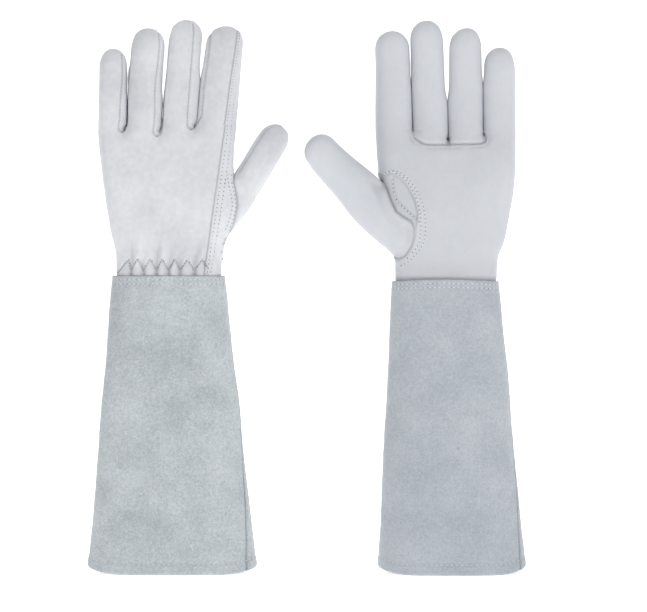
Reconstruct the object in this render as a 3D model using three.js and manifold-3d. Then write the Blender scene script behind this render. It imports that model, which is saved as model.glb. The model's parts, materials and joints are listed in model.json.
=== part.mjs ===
// A pair of beekeeping gloves standing on their long cuffs, fingers up, in millimetres.
// Each glove has a smooth leather hand with a set-in thumb, a wrist gathered on elastic,
// and a tapered suede cuff of two panels. Both gloves are the same pattern: glove_a shows its
// back to -Y, and glove_b is turned round and shows its palm.
//
// Glove frame: x towards the thumb, y towards the palm, z up to the fingertips.
import * as THREE from "three";
import { mergeVertices } from "three/addons/utils/BufferGeometryUtils.js";
import Module from "manifold-3d";

const wasm = await Module();
wasm.setup();

// ---------- driving dimensions ----------
const leather = 1.2; // thickness of the hand's leather
const suede = 1.6; // thickness of the cuff's suede
const gap = 0.4; // clearance between neighbouring pieces
const roundness = 2.4; // 2 makes every section an ellipse, more makes it boxier

const cuffLength = 252;
const cuffHem = 14; // depth of the turned-in hem
const hemRise = 6; // how far the hem climbs at the two sides
const hemFlat = 0.5; // share of the half width where the hem is level
const cuffLap = 15; // how far the wrist reaches down inside the cuff
const twistBelow = 0.76; // the side seam leaves the side below this share of the cuff's length
const cuffRows = { upper_top: 3.5, lower_top: 7, hem: 9 }; // stitch rows, in from the cuff's two edges

const wristAbove = 18; // wrist fold line above the cuff's top edge
const wristBend = 40; // degrees the wrist folds each way
const handLength = 101; // wrist fold line to knuckle line
const wristDepth = 31;
const knuckleDepth = 26;
const palmBulge = 5; // extra depth of the palm between wrist and knuckles

const fingerDepth = 23;
const fingerTaper = 0.1; // share of the width lost towards the tip
const fingerDome = 17; // length of the rounded end
const knuckleCurl = 4; // degrees, how far a relaxed finger already leans to the palm
const middleCurl = 5;
const middleShare = 0.42; // where the finger's second fold lies along it
const backPanel = { from: 210, to: 302 }; // a finger's back panel, degrees round the section

const thumbTilt = 14; // degrees the thumb leans towards the palm
const thumbFirst = 31; // length of the thumb's first moving segment
const thumbLength = 66; // from the thumb's first fold to its tip
const thumbDepth = 25;
const thumbDome = 16;
const thumbRoot = 46; // how far the thumb's root reaches back into the hand
const rootFlare = 1.12; // how much wider the root is at its far end
const rootFlat = 0.5; // and how much shallower
const thumbSeam = 205; // where the folded thumb piece closes, degrees round it
const thumbBend = 40; // degrees the thumb folds over the palm

// The gusset's reach along the hand from the thumb's fold, and round the hand in degrees.
const gusset = { low: -4, high: 26, toBack: 22, toPalm: 58, point: 0.8 };
const elastic = { width: 8, thickness: 0.8, above: 3, from: 190, to: 312 };
const thread = { radius: 0.35, sides: 4 };
const zigzag = { peaks: 7, low: 1, high: 12, from: 192, clear: 4 };
const seamRows = [2.8, 6.6]; // the closing seam's two stitch rows, out from its edge
const seamReach = { low: 16, high: 4 }; // the rows keep this clear of the wrist and of the knuckles

const gloves = [
  {
    name: "a",
    x: -116.5,
    turn: 0,
    wristWidth: 89,
    knuckleShift: -2.4,
    cuff: { topWidth: 96, mouthWidth: 142.5, topDepth: 38, mouthDepth: 50, mouthShift: 2.5, seamTwist: 28 },
    seam: { atCuff: 30.6, slope: 0.141 },
    fingers: [
      { name: "little", width: 24.2, length: 75, lean: 0.4 },
      { name: "ring", width: 29.3, length: 92, lean: 1.6 },
      { name: "middle", width: 29.5, length: 100, lean: 3.3 },
      { name: "index", width: 32.7, length: 94.5, lean: 5 },
    ],
    thumb: { x: 59.5, back: -5.5, z: 56.6, lean: 33, width: 31, tipWidth: 26.5 },
  },
  {
    name: "b",
    x: 119.5,
    turn: 180,
    wristWidth: 86,
    knuckleShift: 0.3,
    cuff: { topWidth: 91, mouthWidth: 126, topDepth: 38, mouthDepth: 60, mouthShift: -5.6, seamTwist: 24 },
    seam: { atCuff: 30.6, slope: 0.141 },
    fingers: [
      { name: "little", width: 27, length: 75.5, lean: 1.1 },
      { name: "ring", width: 30.6, length: 92, lean: -0.1 },
      { name: "middle", width: 29.7, length: 99, lean: 1.8 },
      { name: "index", width: 30.5, length: 89.6, lean: 0.7 },
    ],
    thumb: { x: 69.5, back: -3.5, z: 51.7, lean: 47, width: 36, tipWidth: 30 },
  },
];

// ---------- materials ----------
const finishes = {
  leather: new THREE.MeshStandardMaterial({ color: 0xd2d4d8, roughness: 0.55, metalness: 0 }),
  suede: new THREE.MeshStandardMaterial({ color: 0xb4b9c0, roughness: 0.95, metalness: 0 }),
  thread: new THREE.MeshStandardMaterial({ color: 0xe2e4e6, roughness: 0.8, metalness: 0 }),
  elastic: new THREE.MeshStandardMaterial({ color: 0xe9e9e6, roughness: 0.9, metalness: 0 }),
};

// ---------- general helpers ----------
const degrees = THREE.MathUtils.degToRad;
const { lerp, clamp } = THREE.MathUtils;

function piece(name, geometry, finish) {
  const mesh = new THREE.Mesh(geometry, finishes[finish]);
  mesh.name = name;
  return mesh;
}

// A point on a rounded section with half width w and half depth d, angle in degrees:
// 0 faces the thumb side, 90 the palm, 180 the little finger's side and 270 the back.
function onSection({ x = 0, y = 0, w, d }, angle, z) {
  const c = Math.cos(degrees(angle));
  const s = Math.sin(degrees(angle));
  const reach = (Math.abs(c) ** roundness + Math.abs(s) ** roundness) ** (-1 / roundness);
  return new THREE.Vector3(x + w * reach * c, y + d * reach * s, z);
}

// The angle at which the back of a section lies at the given x.
function backAngleAt(section, x) {
  const share = clamp((x - (section.x ?? 0)) / section.w, -0.99, 0.99);
  const depth = (1 - Math.abs(share) ** roundness) ** (1 / roundness);
  return 360 + THREE.MathUtils.radToDeg(Math.atan2(-depth, share));
}

// One closed solid between surface(u, v, 0) and surface(u, v, thickness). With closed set it
// goes all the way round in u; edges that shrink to a point lose their empty triangles.
function shell(surface, thickness, around, along, closed = false) {
  const grid = [0, thickness].map((inset) =>
    Array.from({ length: along + 1 }, (_, j) =>
      Array.from({ length: around + 1 }, (_, i) =>
        surface((closed ? i % around : i) / around, j / along, inset),
      ),
    ),
  );
  const corners = [];
  const triangle = (a, b, c) => {
    const smallest = Math.min(a.distanceTo(b), b.distanceTo(c), c.distanceTo(a));
    if (smallest > 1e-3) corners.push(a, b, c);
  };
  const quad = (a, b, c, d) => {
    triangle(a, b, c);
    triangle(a, c, d);
  };
  const [outer, inner] = grid;
  for (let j = 0; j < along; j++)
    for (let i = 0; i < around; i++) {
      quad(outer[j][i], outer[j][i + 1], outer[j + 1][i + 1], outer[j + 1][i]);
      quad(inner[j][i], inner[j + 1][i], inner[j + 1][i + 1], inner[j][i + 1]);
    }
  for (let i = 0; i < around; i++) {
    quad(outer[0][i], inner[0][i], inner[0][i + 1], outer[0][i + 1]);
    quad(outer[along][i], outer[along][i + 1], inner[along][i + 1], inner[along][i]);
  }
  if (!closed)
    for (let j = 0; j < along; j++) {
      quad(outer[j][0], outer[j + 1][0], inner[j + 1][0], inner[j][0]);
      quad(outer[j][around], inner[j][around], inner[j + 1][around], outer[j + 1][around]);
    }
  return new THREE.BufferGeometry().setFromPoints(corners);
}

// The full volume inside a surface that goes all the way round, its two ends closed flat.
function plug(surface, inset, around, along) {
  const rings = Array.from({ length: along + 1 }, (_, j) =>
    Array.from({ length: around + 1 }, (_, i) => surface((i % around) / around, j / along, inset)),
  );
  const middle = (ring) =>
    ring.slice(1).reduce((sum, p) => sum.add(p), new THREE.Vector3()).divideScalar(around);
  const first = middle(rings[0]);
  const last = middle(rings[along]);
  const corners = [];
  for (let j = 0; j < along; j++)
    for (let i = 0; i < around; i++) {
      corners.push(rings[j][i], rings[j][i + 1], rings[j + 1][i + 1]);
      corners.push(rings[j][i], rings[j + 1][i + 1], rings[j + 1][i]);
    }
  for (let i = 0; i < around; i++) {
    corners.push(first, rings[0][i + 1], rings[0][i]);
    corners.push(last, rings[along][i], rings[along][i + 1]);
  }
  return new THREE.BufferGeometry().setFromPoints(corners);
}

function toSolid(geometry) {
  const merged = mergeVertices(geometry, 1e-3);
  return new wasm.Manifold(
    new wasm.Mesh({
      numProp: 3,
      vertProperties: merged.attributes.position.array,
      triVerts: new Uint32Array(merged.index.array),
    }),
  );
}

// The largest body of a solid, back as a geometry.
function toGeometry(solid) {
  const body = solid.decompose().sort((a, b) => b.volume() - a.volume())[0];
  const mesh = body.getMesh();
  const corners = Array.from(mesh.triVerts, (v) =>
    new THREE.Vector3().fromArray(mesh.vertProperties, v * mesh.numProp),
  );
  return new THREE.BufferGeometry().setFromPoints(corners);
}

// A thread along the points, which lie on the leather's outside.
function threadAlong(points, steps) {
  const circle = new THREE.Shape();
  circle.absarc(0, 0, thread.radius, 0, 2 * Math.PI);
  return new THREE.ExtrudeGeometry(circle, {
    curveSegments: thread.sides / 2,
    steps,
    extrudePath: new THREE.CatmullRomCurve3(points),
  });
}

// ---------- sections, by height in each frame ----------
const standOff = -(gap + thread.radius); // a thread's middle lies this far inside a skin

function cuffSection({ cuff }, z, inset) {
  const t = 1 - z / cuffLength;
  return {
    x: cuff.mouthShift * t,
    w: lerp(cuff.topWidth, cuff.mouthWidth, t) / 2 - inset,
    d: lerp(cuff.topDepth, cuff.mouthDepth, t) / 2 - inset,
  };
}

const knuckleWidth = ({ fingers }) => fingers.reduce((sum, { width }) => sum + width, 0);

// z counts from the wrist's fold line, and is negative inside the cuff.
function handSection(glove, z, inset) {
  const t = clamp(z / handLength, 0, 1);
  const spread = Math.sin((Math.min(1, t * 1.2) * Math.PI) / 2);
  return {
    x: glove.knuckleShift * spread,
    w: lerp(glove.wristWidth, knuckleWidth(glove), spread) / 2 - inset,
    d: (lerp(wristDepth, knuckleDepth, t) + palmBulge * Math.sin(Math.PI * t)) / 2 - inset,
  };
}

// z counts from the first fold. The rounded end starts dome before the tip.
function digitSection({ width, tipWidth, depth, length, dome }, z, inset) {
  const t = z / length;
  const start = length - dome;
  const round = z > start ? Math.sqrt(Math.max(0, 1 - ((z - start) / (dome - inset)) ** 2)) : 1;
  return {
    w: (lerp(width, tipWidth, t) / 2 - inset) * round,
    d: ((depth * (1 - fingerTaper * t)) / 2 - inset) * round,
  };
}

// ---------- a digit's segments ----------
// A plain length of the tube, between two angles.
function segmentShell(digit, from, to, startAngle, endAngle, around) {
  const surface = (u, v, inset) => {
    const z = lerp(from, to, v);
    return onSection(digitSection(digit, z, inset), lerp(startAngle, endAngle, u), z);
  };
  return shell(surface, leather, around, 1);
}

// The end of the tube with its rounded tip, between two angles.
function tipShell(digit, from, startAngle, endAngle, around) {
  const along = 6;
  const straight = 1 / along; // share of the steps below the rounded end
  const surface = (u, v, inset) => {
    const start = digit.length - digit.dome;
    const turn = Math.sin((clamp((v - straight) / (1 - straight), 0, 1) * Math.PI) / 2);
    const z = v < straight ? lerp(from, start, v / straight) : start + (digit.dome - inset) * turn;
    return onSection(digitSection(digit, z, inset), lerp(startAngle, endAngle, u), z);
  };
  return shell(surface, leather, around, along);
}

// The angle that a clearance of one gap takes on a section about 12 mm in radius.
const slit = THREE.MathUtils.radToDeg(gap / 12);

// A digit's two segments, each modelled with z from its own fold. The fold lies in the palm side.
function digitGroups(name, digit, shells) {
  const first = new THREE.Group();
  const second = new THREE.Group();
  const foldY = digit.depth / 2;
  for (const { label, from, to, around } of shells) {
    const lower = segmentShell(digit, gap, digit.fold - gap, from, to, around);
    first.add(piece(`${name}_${label}`, lower.translate(0, -foldY, 0), "leather"));
    const upper = tipShell(digit, digit.fold + gap, from, to, around);
    second.add(piece(`${name}_tip_${label}`, upper.translate(0, -foldY, -digit.fold), "leather"));
  }
  first.name = `${name}_fold`;
  second.name = `${name}_tip_fold`;
  second.position.set(0, 0, digit.fold);
  second.rotation.x = -degrees(middleCurl);
  first.add(second);
  return first;
}

// ---------- fingers ----------
function finger(glove, spec, baseX) {
  const digit = {
    width: spec.width - 2 * gap,
    tipWidth: (spec.width - 2 * gap) * (1 - fingerTaper),
    depth: fingerDepth,
    length: spec.length,
    dome: fingerDome,
    fold: spec.length * middleShare,
  };
  const group = digitGroups(`${glove.name}_${spec.name}`, digit, [
    { label: "back", from: backPanel.from + slit, to: backPanel.to - slit, around: 5 },
    { label: "front", from: backPanel.to - 360 + slit, to: backPanel.from - slit, around: 11 },
  ]);
  group.position.set(baseX, digit.depth / 2, handLength);
  group.rotation.set(-degrees(knuckleCurl), degrees(spec.lean), 0, "YXZ");
  return group;
}

function fingers(glove) {
  let edge = glove.knuckleShift - knuckleWidth(glove) / 2;
  return glove.fingers.map((spec) => {
    edge += spec.width;
    return finger(glove, spec, edge - spec.width / 2);
  });
}

// ---------- thumb ----------
function thumbDigit({ thumb }) {
  return {
    width: thumb.width,
    tipWidth: thumb.tipWidth,
    depth: thumbDepth,
    length: thumbLength,
    dome: thumbDome,
    fold: thumbFirst,
  };
}

function thumbPlacement({ thumb }) {
  const place = new THREE.Group();
  place.position.set(thumb.x, thumb.back + thumbDepth, thumb.z);
  place.rotation.set(-degrees(thumbTilt), degrees(thumb.lean), 0, "YXZ");
  place.updateMatrix();
  return place;
}

// The thumb's root, a tube from inside the hand up to the thumb's first fold, in the hand's frame.
function thumbRootSurface(glove) {
  const digit = thumbDigit(glove);
  const { matrix } = thumbPlacement(glove);
  return (u, v, inset) => {
    const z = lerp(-thumbRoot, -gap, v);
    const { w, d } = digitSection(digit, 0, inset);
    const root = { w: w * lerp(rootFlare, 1, v), d: d * lerp(rootFlat, 1, v) };
    const p = onSection(root, thumbSeam + 360 * u, z);
    return p.setY(p.y - digit.depth / 2).applyMatrix4(matrix);
  };
}

// The space that the thumb's first segment passes through as it folds, in the hand's frame.
function thumbSweep(glove) {
  const digit = thumbDigit(glove);
  const { matrix } = thumbPlacement(glove);
  const steps = 3;
  const solids = Array.from({ length: steps + 1 }, (_, i) => {
    const folded = new THREE.Matrix4().makeRotationX(-degrees((thumbBend * i) / steps));
    const surface = (u, v) => {
      const z = lerp(-gap, digit.fold, v);
      const p = onSection(digitSection(digit, Math.max(z, 0), -gap), 360 * u, z);
      return p.setY(p.y - digit.depth / 2).applyMatrix4(folded).applyMatrix4(matrix);
    };
    return toSolid(plug(surface, 0, 20, 1));
  });
  return solids.reduce((all, solid) => all.add(solid));
}

function thumb(glove) {
  const group = digitGroups(`${glove.name}_thumb`, thumbDigit(glove), [
    { label: "tube", from: thumbSeam + slit, to: thumbSeam + 360 - slit, around: 18 },
  ]);
  const place = thumbPlacement(glove);
  group.position.copy(place.position);
  group.rotation.copy(place.rotation);
  return group;
}

// ---------- hand: the one piece that wraps palm and back, and what joins it ----------
// The closing seam's place on the back, from the hand's thumb side.
const seamX = ({ seam }, z) => seam.atCuff + seam.slope * (z + wristAbove);
const seamAngle = (glove, z, out = 0) =>
  backAngleAt(handSection(glove, z, 0), seamX(glove, z) + out);

const wristSlope = Math.tan(degrees(wristBend / 2));
const foldRoom = (y) => gap + Math.abs(y) * wristSlope; // clearance that folding needs at depth y

function handSurface(glove) {
  return (u, v, inset) => {
    const turn = (z) => seamAngle(glove, z) + slit / 4 + u * (360 - slit / 2);
    const low = foldRoom(onSection(handSection(glove, 0, 0), turn(0), 0).y);
    const z = lerp(low, handLength - 2 * gap, v);
    return onSection(handSection(glove, z, inset), turn(z), z);
  };
}

// The hand's outside grown by a margin, as a full volume for cutting.
function handVolume(glove, margin) {
  const surface = (u, v) => {
    const z = lerp(0, handLength, v);
    return onSection(handSection(glove, z, -margin), 360 * u, z);
  };
  return toSolid(plug(surface, 0, 40, 10));
}

function handBody(glove) {
  const root = thumbRootSurface(glove);
  const rootTube = toSolid(shell(root, leather, 20, 4, true));
  const throat = toSolid(plug(root, leather, 20, 4));
  const hand = toSolid(shell(handSurface(glove), leather, 34, 6))
    .subtract(throat)
    .subtract(thumbSweep(glove));
  return [
    piece(`${glove.name}_hand_skin`, toGeometry(hand), "leather"),
    piece(`${glove.name}_thumb_root`, toGeometry(rootTube.subtract(handVolume(glove, gap))), "leather"),
    piece(`${glove.name}_thumb_gusset`, thumbGusset(glove), "leather"),
    piece(`${glove.name}_back_seam_thread`, backSeamThread(glove), "thread"),
  ];
}

// The small gusset in the thumb's crotch, a pointed patch on the hand's thumb side.
function thumbGusset(glove) {
  const rise = gap + leather;
  const surface = (u, v, inset) => {
    const z = glove.thumb.z + lerp(gusset.low, gusset.high, v);
    const angle = lerp(-gusset.toBack, gusset.toPalm, u) * (1 - v * gusset.point);
    return onSection(handSection(glove, z, inset - rise), angle, z);
  };
  const root = toSolid(plug(thumbRootSurface(glove), -gap, 20, 4));
  return toGeometry(
    toSolid(shell(surface, leather, 8, 3))
      .subtract(handVolume(glove, gap))
      .subtract(root)
      .subtract(thumbSweep(glove)),
  );
}

// Both rows of the closing seam as one thread, up the inner row and down the outer.
function backSeamThread(glove) {
  const steps = 8;
  const row = (out) =>
    Array.from({ length: steps + 1 }, (_, j) => {
      const z = lerp(seamReach.low, handLength - seamReach.high, j / steps);
      return onSection(handSection(glove, z, standOff), seamAngle(glove, z, out), z);
    });
  const [inner, outer] = seamRows.map(row);
  return threadAlong([...inner, ...outer.reverse()], 36);
}

// ---------- wrist: the hand's lower end, gathered on elastic and sewn into the cuff ----------
function wristBody(glove) {
  const bottom = -(wristAbove + cuffLap);
  const sleeve = (u, v, inset) => {
    const turn = seamAngle(glove, 0) + slit / 4 + u * (360 - slit / 2);
    const high = -foldRoom(onSection(handSection(glove, 0, 0), turn, 0).y);
    const z = lerp(bottom, high, v);
    return onSection(handSection(glove, 0, inset), turn, z);
  };
  const band = (u, v, inset) => {
    const z = elastic.above - wristAbove + elastic.width * v;
    return onSection(handSection(glove, 0, leather + gap + inset), lerp(elastic.from, elastic.to, u), z);
  };
  return [
    piece(`${glove.name}_wrist_skin`, shell(sleeve, leather, 32, 2), "leather"),
    piece(`${glove.name}_wrist_elastic`, shell(band, elastic.thickness, 12, 1), "elastic"),
    piece(`${glove.name}_zigzag_thread`, zigzagThread(glove), "thread"),
  ];
}

function zigzagThread(glove) {
  const points = [];
  for (let i = 0; i <= 2 * zigzag.peaks; i++) {
    const angle = lerp(zigzag.from, seamAngle(glove, 0) - zigzag.clear, i / (2 * zigzag.peaks));
    const z = (i % 2 ? zigzag.high : zigzag.low) - wristAbove;
    points.push(onSection(handSection(glove, 0, standOff), angle, z));
  }
  return threadAlong(points, 4 * zigzag.peaks);
}

// ---------- cuff ----------
// How far the hem has climbed at an angle, from 0 at the front and back to 1 at the two sides.
const climb = (angle) =>
  clamp((Math.abs(Math.cos(degrees(angle))) - hemFlat) / (1 - hemFlat), 0, 1) ** 2;

function cuffSurface(glove, startAngle, endAngle) {
  const seamShift = (z) => glove.cuff.seamTwist * clamp(1 - z / cuffLength / twistBelow, 0, 1);
  const side = (z) => slit / 4 - seamShift(z);
  return (u, v, inset) => {
    const nominal = v < 1 / 5 ? cuffHem * 5 * v : lerp(cuffHem, cuffLength, (v - 1 / 5) / (4 / 5));
    const angle = lerp(startAngle, endAngle, u) + lerp(side(nominal), side(nominal) - slit / 2, u);
    const wall = nominal < cuffHem ? inset * 2 : inset; // the hem is two layers
    const z = nominal + hemRise * climb(angle) * (1 - nominal / cuffLength);
    return onSection(cuffSection(glove, z, wall), angle, z);
  };
}

// A stitch row round the cuff at height z, as one thread that nearly meets itself.
function ringThread(glove, z) {
  const surface = (u, v) => {
    const turn = 2 * Math.PI * u;
    const angle = lerp(0, 359, v);
    const inset = standOff + thread.radius * Math.cos(turn);
    const height = z + hemRise * climb(angle) * (1 - z / cuffLength);
    return onSection(cuffSection(glove, height, inset), angle, height + thread.radius * Math.sin(turn));
  };
  return plug(surface, 0, thread.sides, 28);
}

function cuffBody(glove) {
  return [
    piece(`${glove.name}_cuff_palm_panel`, shell(cuffSurface(glove, 0, 180), suede, 14, 5), "suede"),
    piece(`${glove.name}_cuff_back_panel`, shell(cuffSurface(glove, 180, 360), suede, 14, 5), "suede"),
    ...Object.entries(cuffRows).map(([row, inward]) =>
      piece(
        `${glove.name}_cuff_${row}_thread`,
        ringThread(glove, row === "hem" ? inward : cuffLength - inward),
        "thread",
      ),
    ),
  ];
}

// ---------- assembly ----------
function buildGlove(glove) {
  const hand = new THREE.Group();
  hand.name = `${glove.name}_wrist_fold`;
  hand.position.set(0, 0, cuffLength + wristAbove);
  hand.add(...handBody(glove), ...fingers(glove), thumb(glove));

  const wrist = new THREE.Group();
  wrist.position.copy(hand.position);
  wrist.add(...wristBody(glove));

  const group = new THREE.Group();
  group.position.x = glove.x;
  group.rotation.z = degrees(glove.turn);
  group.add(...cuffBody(glove), wrist, hand);
  return group;
}

// The pair stands with its origin under the middle of its box, on the surface it stands on.
function buildPair() {
  const both = new THREE.Group();
  both.add(...gloves.map(buildGlove));
  const box = new THREE.Box3().setFromObject(both, true);
  const middle = box.getCenter(new THREE.Vector3());
  both.position.set(-middle.x, -middle.y, -box.min.z);
  const pair = new THREE.Group();
  pair.add(both);
  return pair;
}

export default buildPair();
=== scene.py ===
# Beekeeping gloves: the looks of a pair that stands on its long suede cuffs.
# Glove a shows the back of the hand to -Y, glove b its palm.
import json
import math

import bpy
import numpy as np
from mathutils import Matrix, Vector, noise
from mathutils.bvhtree import BVHTree


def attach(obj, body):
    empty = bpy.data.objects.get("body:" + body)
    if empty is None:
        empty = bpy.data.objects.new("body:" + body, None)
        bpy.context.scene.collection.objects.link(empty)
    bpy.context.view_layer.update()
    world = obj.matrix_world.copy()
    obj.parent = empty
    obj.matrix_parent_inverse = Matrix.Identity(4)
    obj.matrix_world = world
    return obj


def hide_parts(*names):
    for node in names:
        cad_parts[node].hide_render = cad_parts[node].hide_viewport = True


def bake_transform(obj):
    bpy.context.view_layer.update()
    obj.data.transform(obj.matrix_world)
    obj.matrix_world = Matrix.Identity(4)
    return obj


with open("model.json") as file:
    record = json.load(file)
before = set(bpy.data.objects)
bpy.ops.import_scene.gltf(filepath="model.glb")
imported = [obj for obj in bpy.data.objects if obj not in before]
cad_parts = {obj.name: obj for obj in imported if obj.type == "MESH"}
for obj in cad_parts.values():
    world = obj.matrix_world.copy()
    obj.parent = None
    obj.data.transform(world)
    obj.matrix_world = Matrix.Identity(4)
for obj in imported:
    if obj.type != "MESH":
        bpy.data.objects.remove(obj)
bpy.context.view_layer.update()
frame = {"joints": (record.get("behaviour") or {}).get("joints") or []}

mm = 0.001
joints = {j["name"]: j for j in frame["joints"]}
fingerNames = ["little", "ring", "middle", "index"]


# curves and numbers, all in millimetres in a glove's own axes:
# x to the thumb, y to the palm, z up from the fold of the wrist

def lerp(a, b, t):
    return a + (b - a) * t


def smooth(t):
    t = np.clip(t, 0, 1)
    return t * t * (3 - 2 * t)


def bell(distance, width):  # 1 on the line, 0 well away from it
    return np.exp(-((distance / width) ** 2))


def softRamp(t, width):  # 0 below 0 and t above it, with a rounded corner
    return 0.5 * (t + np.sqrt(t * t + width * width))


def rounded(s, power):  # half height of a rounded section at share s of its half width
    return np.maximum(0, 1 - np.abs(s) ** power) ** (1 / power)


def along(points, count):  # count places spread evenly on a smooth curve through the points
    p = np.array(points, float)
    ends = np.vstack([2 * p[0] - p[1], p, 2 * p[-1] - p[-2]])
    fine = []
    t = np.linspace(0, 1, 24, endpoint=False)[:, None]
    for k in range(1, len(ends) - 2):
        a, b, c, d = ends[k - 1], ends[k], ends[k + 1], ends[k + 2]
        bend = (2 * a - 5 * b + 4 * c - d) * t**2 + (3 * b - a - 3 * c + d) * t**3
        fine.append(0.5 * (2 * b + (c - a) * t + bend))
    fine = np.vstack(fine + [p[-1:]])
    steps = np.linalg.norm(np.diff(fine, axis=0), axis=1)
    run = np.concatenate([[0], np.cumsum(steps)])
    spots = np.linspace(0, run[-1], count)
    return np.column_stack([np.interp(spots, run, fine[:, k]) for k in range(p.shape[1])])


def profile(points):  # a smooth function of height through (value, height) pairs
    fine = along([(h, v) for v, h in points], 200)
    return lambda z: np.interp(z, fine[:, 0], fine[:, 1])


def awayFrom(x, z, path):  # signed distance from a line, positive to its right as it runs on
    best = np.full(np.shape(x), 1e9)
    sign = np.ones(np.shape(x))
    for (ax, az), (bx, bz) in zip(path[:-1], path[1:]):
        dx, dz = bx - ax, bz - az
        t = np.clip(((x - ax) * dx + (z - az) * dz) / (dx * dx + dz * dz), 0, 1)
        away = np.hypot(x - ax - t * dx, z - az - t * dz)
        turn = dz * (x - ax) - dx * (z - az)
        nearer = away < best - 1e-9
        best = np.where(nearer, away, best)
        sign = np.where(nearer, np.where(turn >= 0, 1.0, -1.0), sign)
    return best * sign


def wander(points, size, seed):  # slow seeded noise between about -1 and 1
    shift = Vector((seed * 17.3, seed * 5.1, seed * 9.7))
    return np.array([noise.noise(Vector(p) + shift) for p in points / size])


# what the two gloves share

hand = {
    "leather": 1.2,
    "sleeve": 33.0,  # how far the wrist runs down inside the cuff
    "edgePower": 2.4,
    "fingerPower": 2.3,
    "crotchRound": 13.0,  # how far the valley between two fingers runs down the hand
    "gapOpening": 18.0,  # over how much height the fingers part
    "fingerDome": 17.0,
    "tipLean": (-0.6, -1.6, -1.4, 0.0),
    "columns": 34,  # across each finger, on each side
    "rowPitch": 1.05,
    "fingerCurl": (101.0, 0.070, 0.088),  # where it starts, and its two slopes
    "cutBelowFold": 9.0,
    "lapAtWrist": 33.15,
    "lapSlope": 0.141,
    "lapHeight": 0.9,
    "lapRows": (2.8, 6.6),
    "wristBlend": (-17.0, -1.0),
}
halfDepth = {
    -1: profile([(16.7, -40), (16.7, -20), (15.6, -9), (15.5, 0), (16.2, 30), (15.8, 60),
                 (14.6, 85), (13.1, 103), (11.9, 122), (11.2, 150), (10.4, 205)]),
    1: profile([(16.7, -40), (16.7, -20), (15.6, -9), (15.8, 0), (18.0, 30), (18.2, 55),
                (16.2, 85), (13.6, 103), (12.2, 122), (11.4, 150), (10.6, 205)]),
}

looks = {
    "a": {
        "side": 1,
        "seed": 1,
        "webs": [(-60.2, 106.0), (-38.0, 108.0), (-7.4, 106.3), (22.0, 110.8), (57.4, 110.0)],
        "tips": [(-47.9, 23.6, 178.3), (-18.4, 28.8, 195.9), (14.1, 28.8, 203.0), (46.9, 31.8, 197.6)],
        "gapsOpen": (0, 151.0, 127.0, 147.0, 0),  # below these heights neighbouring fingers touch
        "gapShift": (0.0, 2.3, 1.2, 2.0, 0.0),  # how far each gap leans to the thumb above its crotch
        "littleSide": [(-44.2, -40), (-44.5, 0), (-46.2, 9), (-49.3, 22), (-52.5, 40), (-56.4, 67),
                       (-58.6, 87), (-60.2, 106)],
        "thumbSide": [(44.4, -40), (45.2, -12), (46.0, 2), (49.0, 13), (54.0, 21), (59.0, 29), (62.0, 38),
                      (62.4, 47), (60.2, 58), (56.6, 67), (55.2, 76), (55.6, 92), (57.4, 110)],
        "thumbStations": [  # outer edge x, z and inner edge x, z, from the root to the tip's round end
            (45.0, -14, 22, -4), (46.4, 2, 22, 10), (49.6, 14.5, 26, 24), (57.6, 26, 33, 40),
            (67.8, 39.8, 44, 57), (76.3, 53.3, 54.6, 69.3), (84.9, 67.3, 62.0, 81.5),
            (92.8, 81.2, 70.2, 94.8), (99.4, 93.0, 77.4, 106.6)],
        "thumbDome": 15.0,
        "thumbY": 7.0,
        "crotch": (55.3, 69.6),
        "backEdge": [(64, 104), (57.4, 76.4), (55.4, 69.8), (55.8, 63), (57.6, 55), (58.8, 48), (58.9, 41),
                     (56.8, 31), (53.0, 21), (51.0, 14.0), (53.0, 9.0), (60, 6)],
        "palmStretch": (1.5, 1.09),
        "gatherScale": 1.0,
        "topDrop": -1.5,
        "cuff": {"topWidth": 95.2, "mouthWidth": 144.0, "topDepth": 37.6, "mouthDepth": 50,
                 "mouthShift": 3.2, "seamTwist": 33},
    },
    "b": {
        "side": -1,
        "seed": 2,
        "webs": [(-60.2, 102.0), (-32.8, 103.6), (-2.2, 100.4), (27.9, 107.6), (59.2, 107.0)],
        "tips": [(-45.9, 26.4, 177.4), (-16.9, 27.4, 194.1), (16.1, 28.2, 200.1), (44.9, 28.9, 191.6)],
        "gapsOpen": (0, 142.0, 127.0, 140.0, 0),
        "gapShift": (0.0, 0.4, -0.5, -0.4, 0.0),
        "littleSide": [(-43.0, -40), (-43.6, -14), (-44.2, -4), (-45.2, 1.2), (-47.6, 6.5), (-50.4, 13.5),
                       (-53.0, 24), (-55.3, 36.6), (-57.3, 48.7), (-59.5, 68), (-60.2, 84), (-60.2, 102)],
        "thumbSide": [(42.2, -40), (42.4, -12), (43.2, 0), (47.4, 8), (53.5, 15), (58.6, 23), (61.6, 32),
                      (62.4, 42), (60.6, 52), (57.2, 61), (56.8, 70), (58.4, 88), (59.2, 107)],
        "thumbStations": [
            (41.6, -14, 20, -4), (43.4, -1.5, 20, 8), (50.0, 6.2, 23, 20), (58.5, 13.2, 28, 33),
            (68.0, 21.4, 36, 45), (79.6, 33.2, 46.0, 56), (89.9, 46.8, 57.6, 66.6),
            (101.9, 60.3, 76.0, 81.6), (111.6, 71.8, 87.4, 91.2), (116.4, 78.2, 94.8, 98.0)],
        "thumbDome": 14.0,
        "thumbY": 9.0,
        "crotch": (54.7, 65.2),
        "backEdge": [(68, 92), (58.4, 70.6), (55.0, 65.2), (55.0, 58), (56.2, 50), (57.4, 43), (57.4, 36),
                     (55.0, 26), (50.6, 16), (48.4, 9.6), (50.4, 5.0), (58, 2)],
        "palmStretch": (0.0, 1.0),
        "gatherScale": 0.955,
        "topDrop": 3.2,
        "cuff": {"topWidth": 90.6, "mouthWidth": 126, "topDepth": 37.6, "mouthDepth": 60,
                 "mouthShift": -5.6, "seamTwist": 29},
    },
}


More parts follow.
